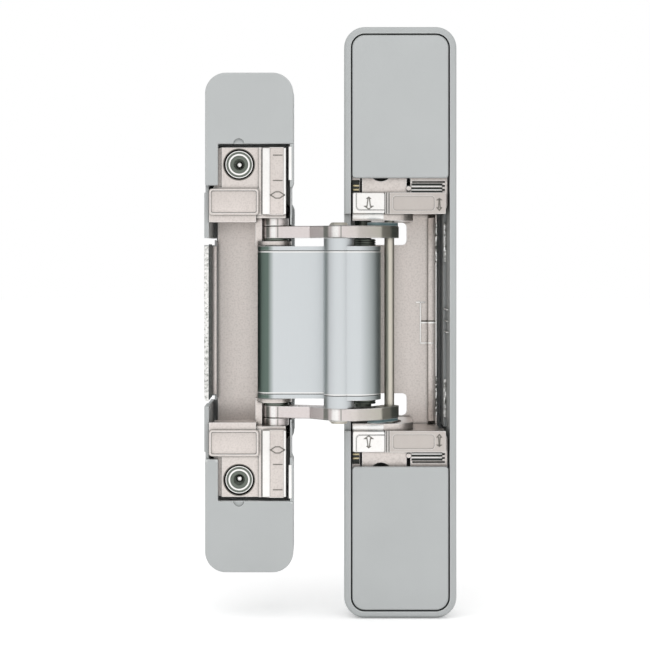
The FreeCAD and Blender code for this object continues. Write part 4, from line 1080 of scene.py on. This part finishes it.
@dataclass
class ScrewRings:
    """Flat rings on the two adjusting screws and their pads: painted highlights and painted shade
    of the heads' rounded edges, sockets and bores, and a painted highlight spot on each socket
    floor.
    """

    made: Materials
    centre_x: float = -38.8
    centre_z: float = 38.0
    edge_share: float = 0.4
    # Light rings are painted highlights and dark rings painted shade, of the head's rounded edge
    # and its socket.
    head_rings: tuple[Ring, ...] = (
        Ring("socket_edge", (1.35, 2.18), HEAD_FACE, 0.05, "ring_dark"),
        Ring("head_ring", (2.16, 2.6), HEAD_FACE, 0.22, "ring_bright"),
        Ring("head_dark", (2.58, 3.1), HEAD_FACE, 0.06, "ring_dark"),
        Ring("head_rim", (3.08, 3.3), HEAD_FACE, 0.14, "ring_bright"))
    # A dark ring round the pad's bore: painted shade.
    pad_ring: Ring = Ring("pad_ring", (3.66, 3.86), PAD_FACE, 0.06, "groove_dark")
    spot_radius: float = 0.6
    spot_sides: int = 24
    spot_height: float = 0.5
    spot_edge: float = 0.15

    def turn(self, ring: Ring, end: str, centre: Span, seat: Seat) -> None:
        """Lays one flat ring.

        Args:
            ring: The ring.
            end: top or bottom.
            centre: Its centre in X and Z.
            seat: What it lies on.
        """
        inner, outer = ring.radii
        bench = Bench(f"{ring.name}_{end}").circle(centre, ring.face, outer)
        bench.ring(centre, ring.face, inner / outer)
        bench.raise_up(ring.height, ring.height * self.edge_share)
        bench.done(self.made[ring.finish], seat)

    def build(self) -> None:
        """Lays the rings and spots of both screws."""
        for end, sign in ENDS:
            centre = (self.centre_x, sign * self.centre_z)
            seat = Seat[f"ADJUST_{end.upper()}"]
            for ring in self.head_rings:
                self.turn(ring, end, centre, seat)
            self.turn(self.pad_ring, end, centre, Seat.DOOR_CARRIER)
            # A bright spot on the socket floor: painted highlight.
            spot = Bench(f"socket_spot_{end}")
            spot.circle(centre, SOCKET_FLOOR, self.spot_radius, self.spot_sides).fill()
            spot.raise_up(self.spot_height, self.spot_edge).done(self.made["ring_bright"], seat)


@dataclass
class Linings:
    """Thin strips, textured faces, rods and rough edges that lie on the castings and the cases,
    with painted highlight and painted shade strips among them.
    """

    made: Materials
    single: tuple[Laid, ...] = (
        Strip("door_wall_ledge", (-46.09, -44.92), (-18.3, 18.3), WALL_FOOT, Seat.DOOR_LEAF,
              0.12, "nickel_flat"),
        # A dark teal sheet on the door leaf's inner wall: painted shade.
        Strip("door_wall_shade", (-46.1, -46.04), (-18.8, 18.8), WALL_SHADE_FOOT, Seat.DOOR_LEAF,
              11.9, "wall_painted_shade", 0.0),
        Beads("door_wall_beads", (-47.15, -46.12), (-19.0, 18.3), DOOR_WALL_EDGE, Seat.DOOR_LEAF,
              7),
        Strip("floor_shelf", (7.8, 9.64), (-25.5, 25.5), POCKET_FLOOR, Seat.FRAME_CARRIER,
              1.7, "nickel_flat"),
        # A bright line on the shelf's edge: painted highlight.
        Strip("floor_edge", (9.65, 9.97), (-14.3, 14.3), POCKET_SHELF, Seat.FRAME_CARRIER,
              0.12, "ring_bright"),
        *(Strip(f"wall_tick_{index}", (11.3, 11.89), band(height, 0.1), WALL_FOOT,
                Seat.FRAME_LEAF, 9.0, "ring_bright")
          for index, height in enumerate((-2.6, 0.1, 2.9))))
    paired: tuple[Laid, ...] = (
        Strip("bar_face_{end}", (-31.2, -28.1), (26.0, 41.9), BAR_FACE, Seat.DOOR_CARRIER,
              0.06, "face_grain"),
        # Bright strips on the bar's bevel and its rounded right edge: painted highlights.
        Strip("bar_bevel_{end}", (-33.1, -31.35), (26.0, 41.9), CHAMFER_FACE, Seat.DOOR_CARRIER,
              0.4, "nickel_bright"),
        Strip("bar_edge_{end}", (-28.1, -27.48), (26.0, 41.9), TURN_FACE, Seat.DOOR_CARRIER,
              0.5, "nickel_bright"),
        Strip("rim_light_{end}", (-26.8, -26.1), (34.2, 42.2), RIM_FACE, Seat.DOOR_LEAF,
              0.05, "ring_bright"),
        Strip("plate_face_{end}", (-45.5, -34.5), (26.45, 31.55), NAMEPLATE_FACE,
              Seat.DOOR_CARRIER, 0.06, "face_grain"),
        Beads("column_beads_{end}", (9.6, 9.98), (14.5, 24.0), POCKET_SHELF, Seat.FRAME_CARRIER,
              3, 5),
        Beads("wall_beads_{end}", (11.25, 11.85), (14.5, 24.0), WALL_FOOT, Seat.FRAME_LEAF,
              4, 6),
        # A bright strip on the lip's front: painted highlight.
        Strip("lip_face_{end}", (-11.4, -3.95), (24.8, 26.3), LIP_FACE, Seat.FRAME_CARRIER,
              0.05, "ring_bright"),
        # A black sheet behind the rods: painted shade.
        Strip("rod_back_{end}", (-11.55, -9.75), (31.35, 34.3), ROD_BACK, Seat.FRAME_CARRIER,
              0.2, "painted_gap_shade"),
        *(Strip(f"spring_rod_{{end}}_{index}", (-11.5, -9.8), band(height, 0.3), ROD_FLOOR,
                Seat.FRAME_CARRIER, 0.35, "rod_brass", 0.16)
          for index, height in enumerate((31.95, 32.95))),
        # Black lines between the ribs are painted shade, and the light lines on them painted
        # highlights.
        *(Strip(f"rib_gap_{{end}}_{index}", (2.8, 10.3), band(height, 0.2), RIB_FLOOR,
                Seat.FRAME_CARRIER, 0.04, "painted_gap_shade", 0.0)
          for index, height in enumerate((31.52, 32.32, 33.28))),
        *(Strip(f"rib_light_{{end}}_{index}", (2.8, 10.2), band(height, 0.14), RIB_FLOOR,
                Seat.FRAME_CARRIER, 0.12, "ring_bright")
          for index, height in enumerate((31.92, 32.82))))
    pivot: Span = (-8.8, -4.0)
    washer_radius: float = 3.1
    washer_heights: Span = (18.45, 20.1)
    washer_count: int = 3
    washer_sides: int = 40
    washer_share: float = 0.7
    groove_share: float = 0.15
    groove_narrow: float = 0.88

    def washers(self, end: str, sign: float) -> None:
        """Stacks dark washers on the frame pivot, between the block and the arm.

        Args:
            end: top or bottom.
            sign: The sign of the heights there.
        """
        bench = Bench(f"pivot_washers_{end}")
        low, top = sorted(sign * height for height in self.washer_heights)
        x, y = self.pivot[0] * MM, self.pivot[1] * MM
        bpy.ops.mesh.primitive_circle_add(
            vertices=self.washer_sides, radius=self.washer_radius * MM, fill_type="NGON",
            location=(x, y, low * MM))
        bench.take()
        step = (top - low) / self.washer_count
        for _ in range(self.washer_count):
            bench.pull((0.0, 0.0, step * self.washer_share))
            for share in (self.groove_narrow, 1.0 / self.groove_narrow):
                bench.pull((0.0, 0.0, step * self.groove_share))
                bpy.ops.transform.resize(value=(share, share, 1.0), center_override=(x, y, 0.0))
        bench.done(self.made["ring_dark"], Seat.LINK)

    def build(self) -> None:
        """Lays all strips of both leaves."""
        for piece in self.single:
            piece.lay(self.made)
        for end, sign in ENDS:
            for piece in self.paired:
                piece.at(end, sign).lay(self.made)
            self.washers(end, sign)


def main() -> None:
    """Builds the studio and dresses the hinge."""
    Studio().build()
    wardrobe = Wardrobe(FINISHES)
    wardrobe.dress()
    Linings(wardrobe.made).build()
    BarMarks(wardrobe.made).build()
    ScrewRings(wardrobe.made).build()


if __name__ == "__main__":
    logging.basicConfig(level=logging.INFO, format="%(name)s: %(message)s")
    main()
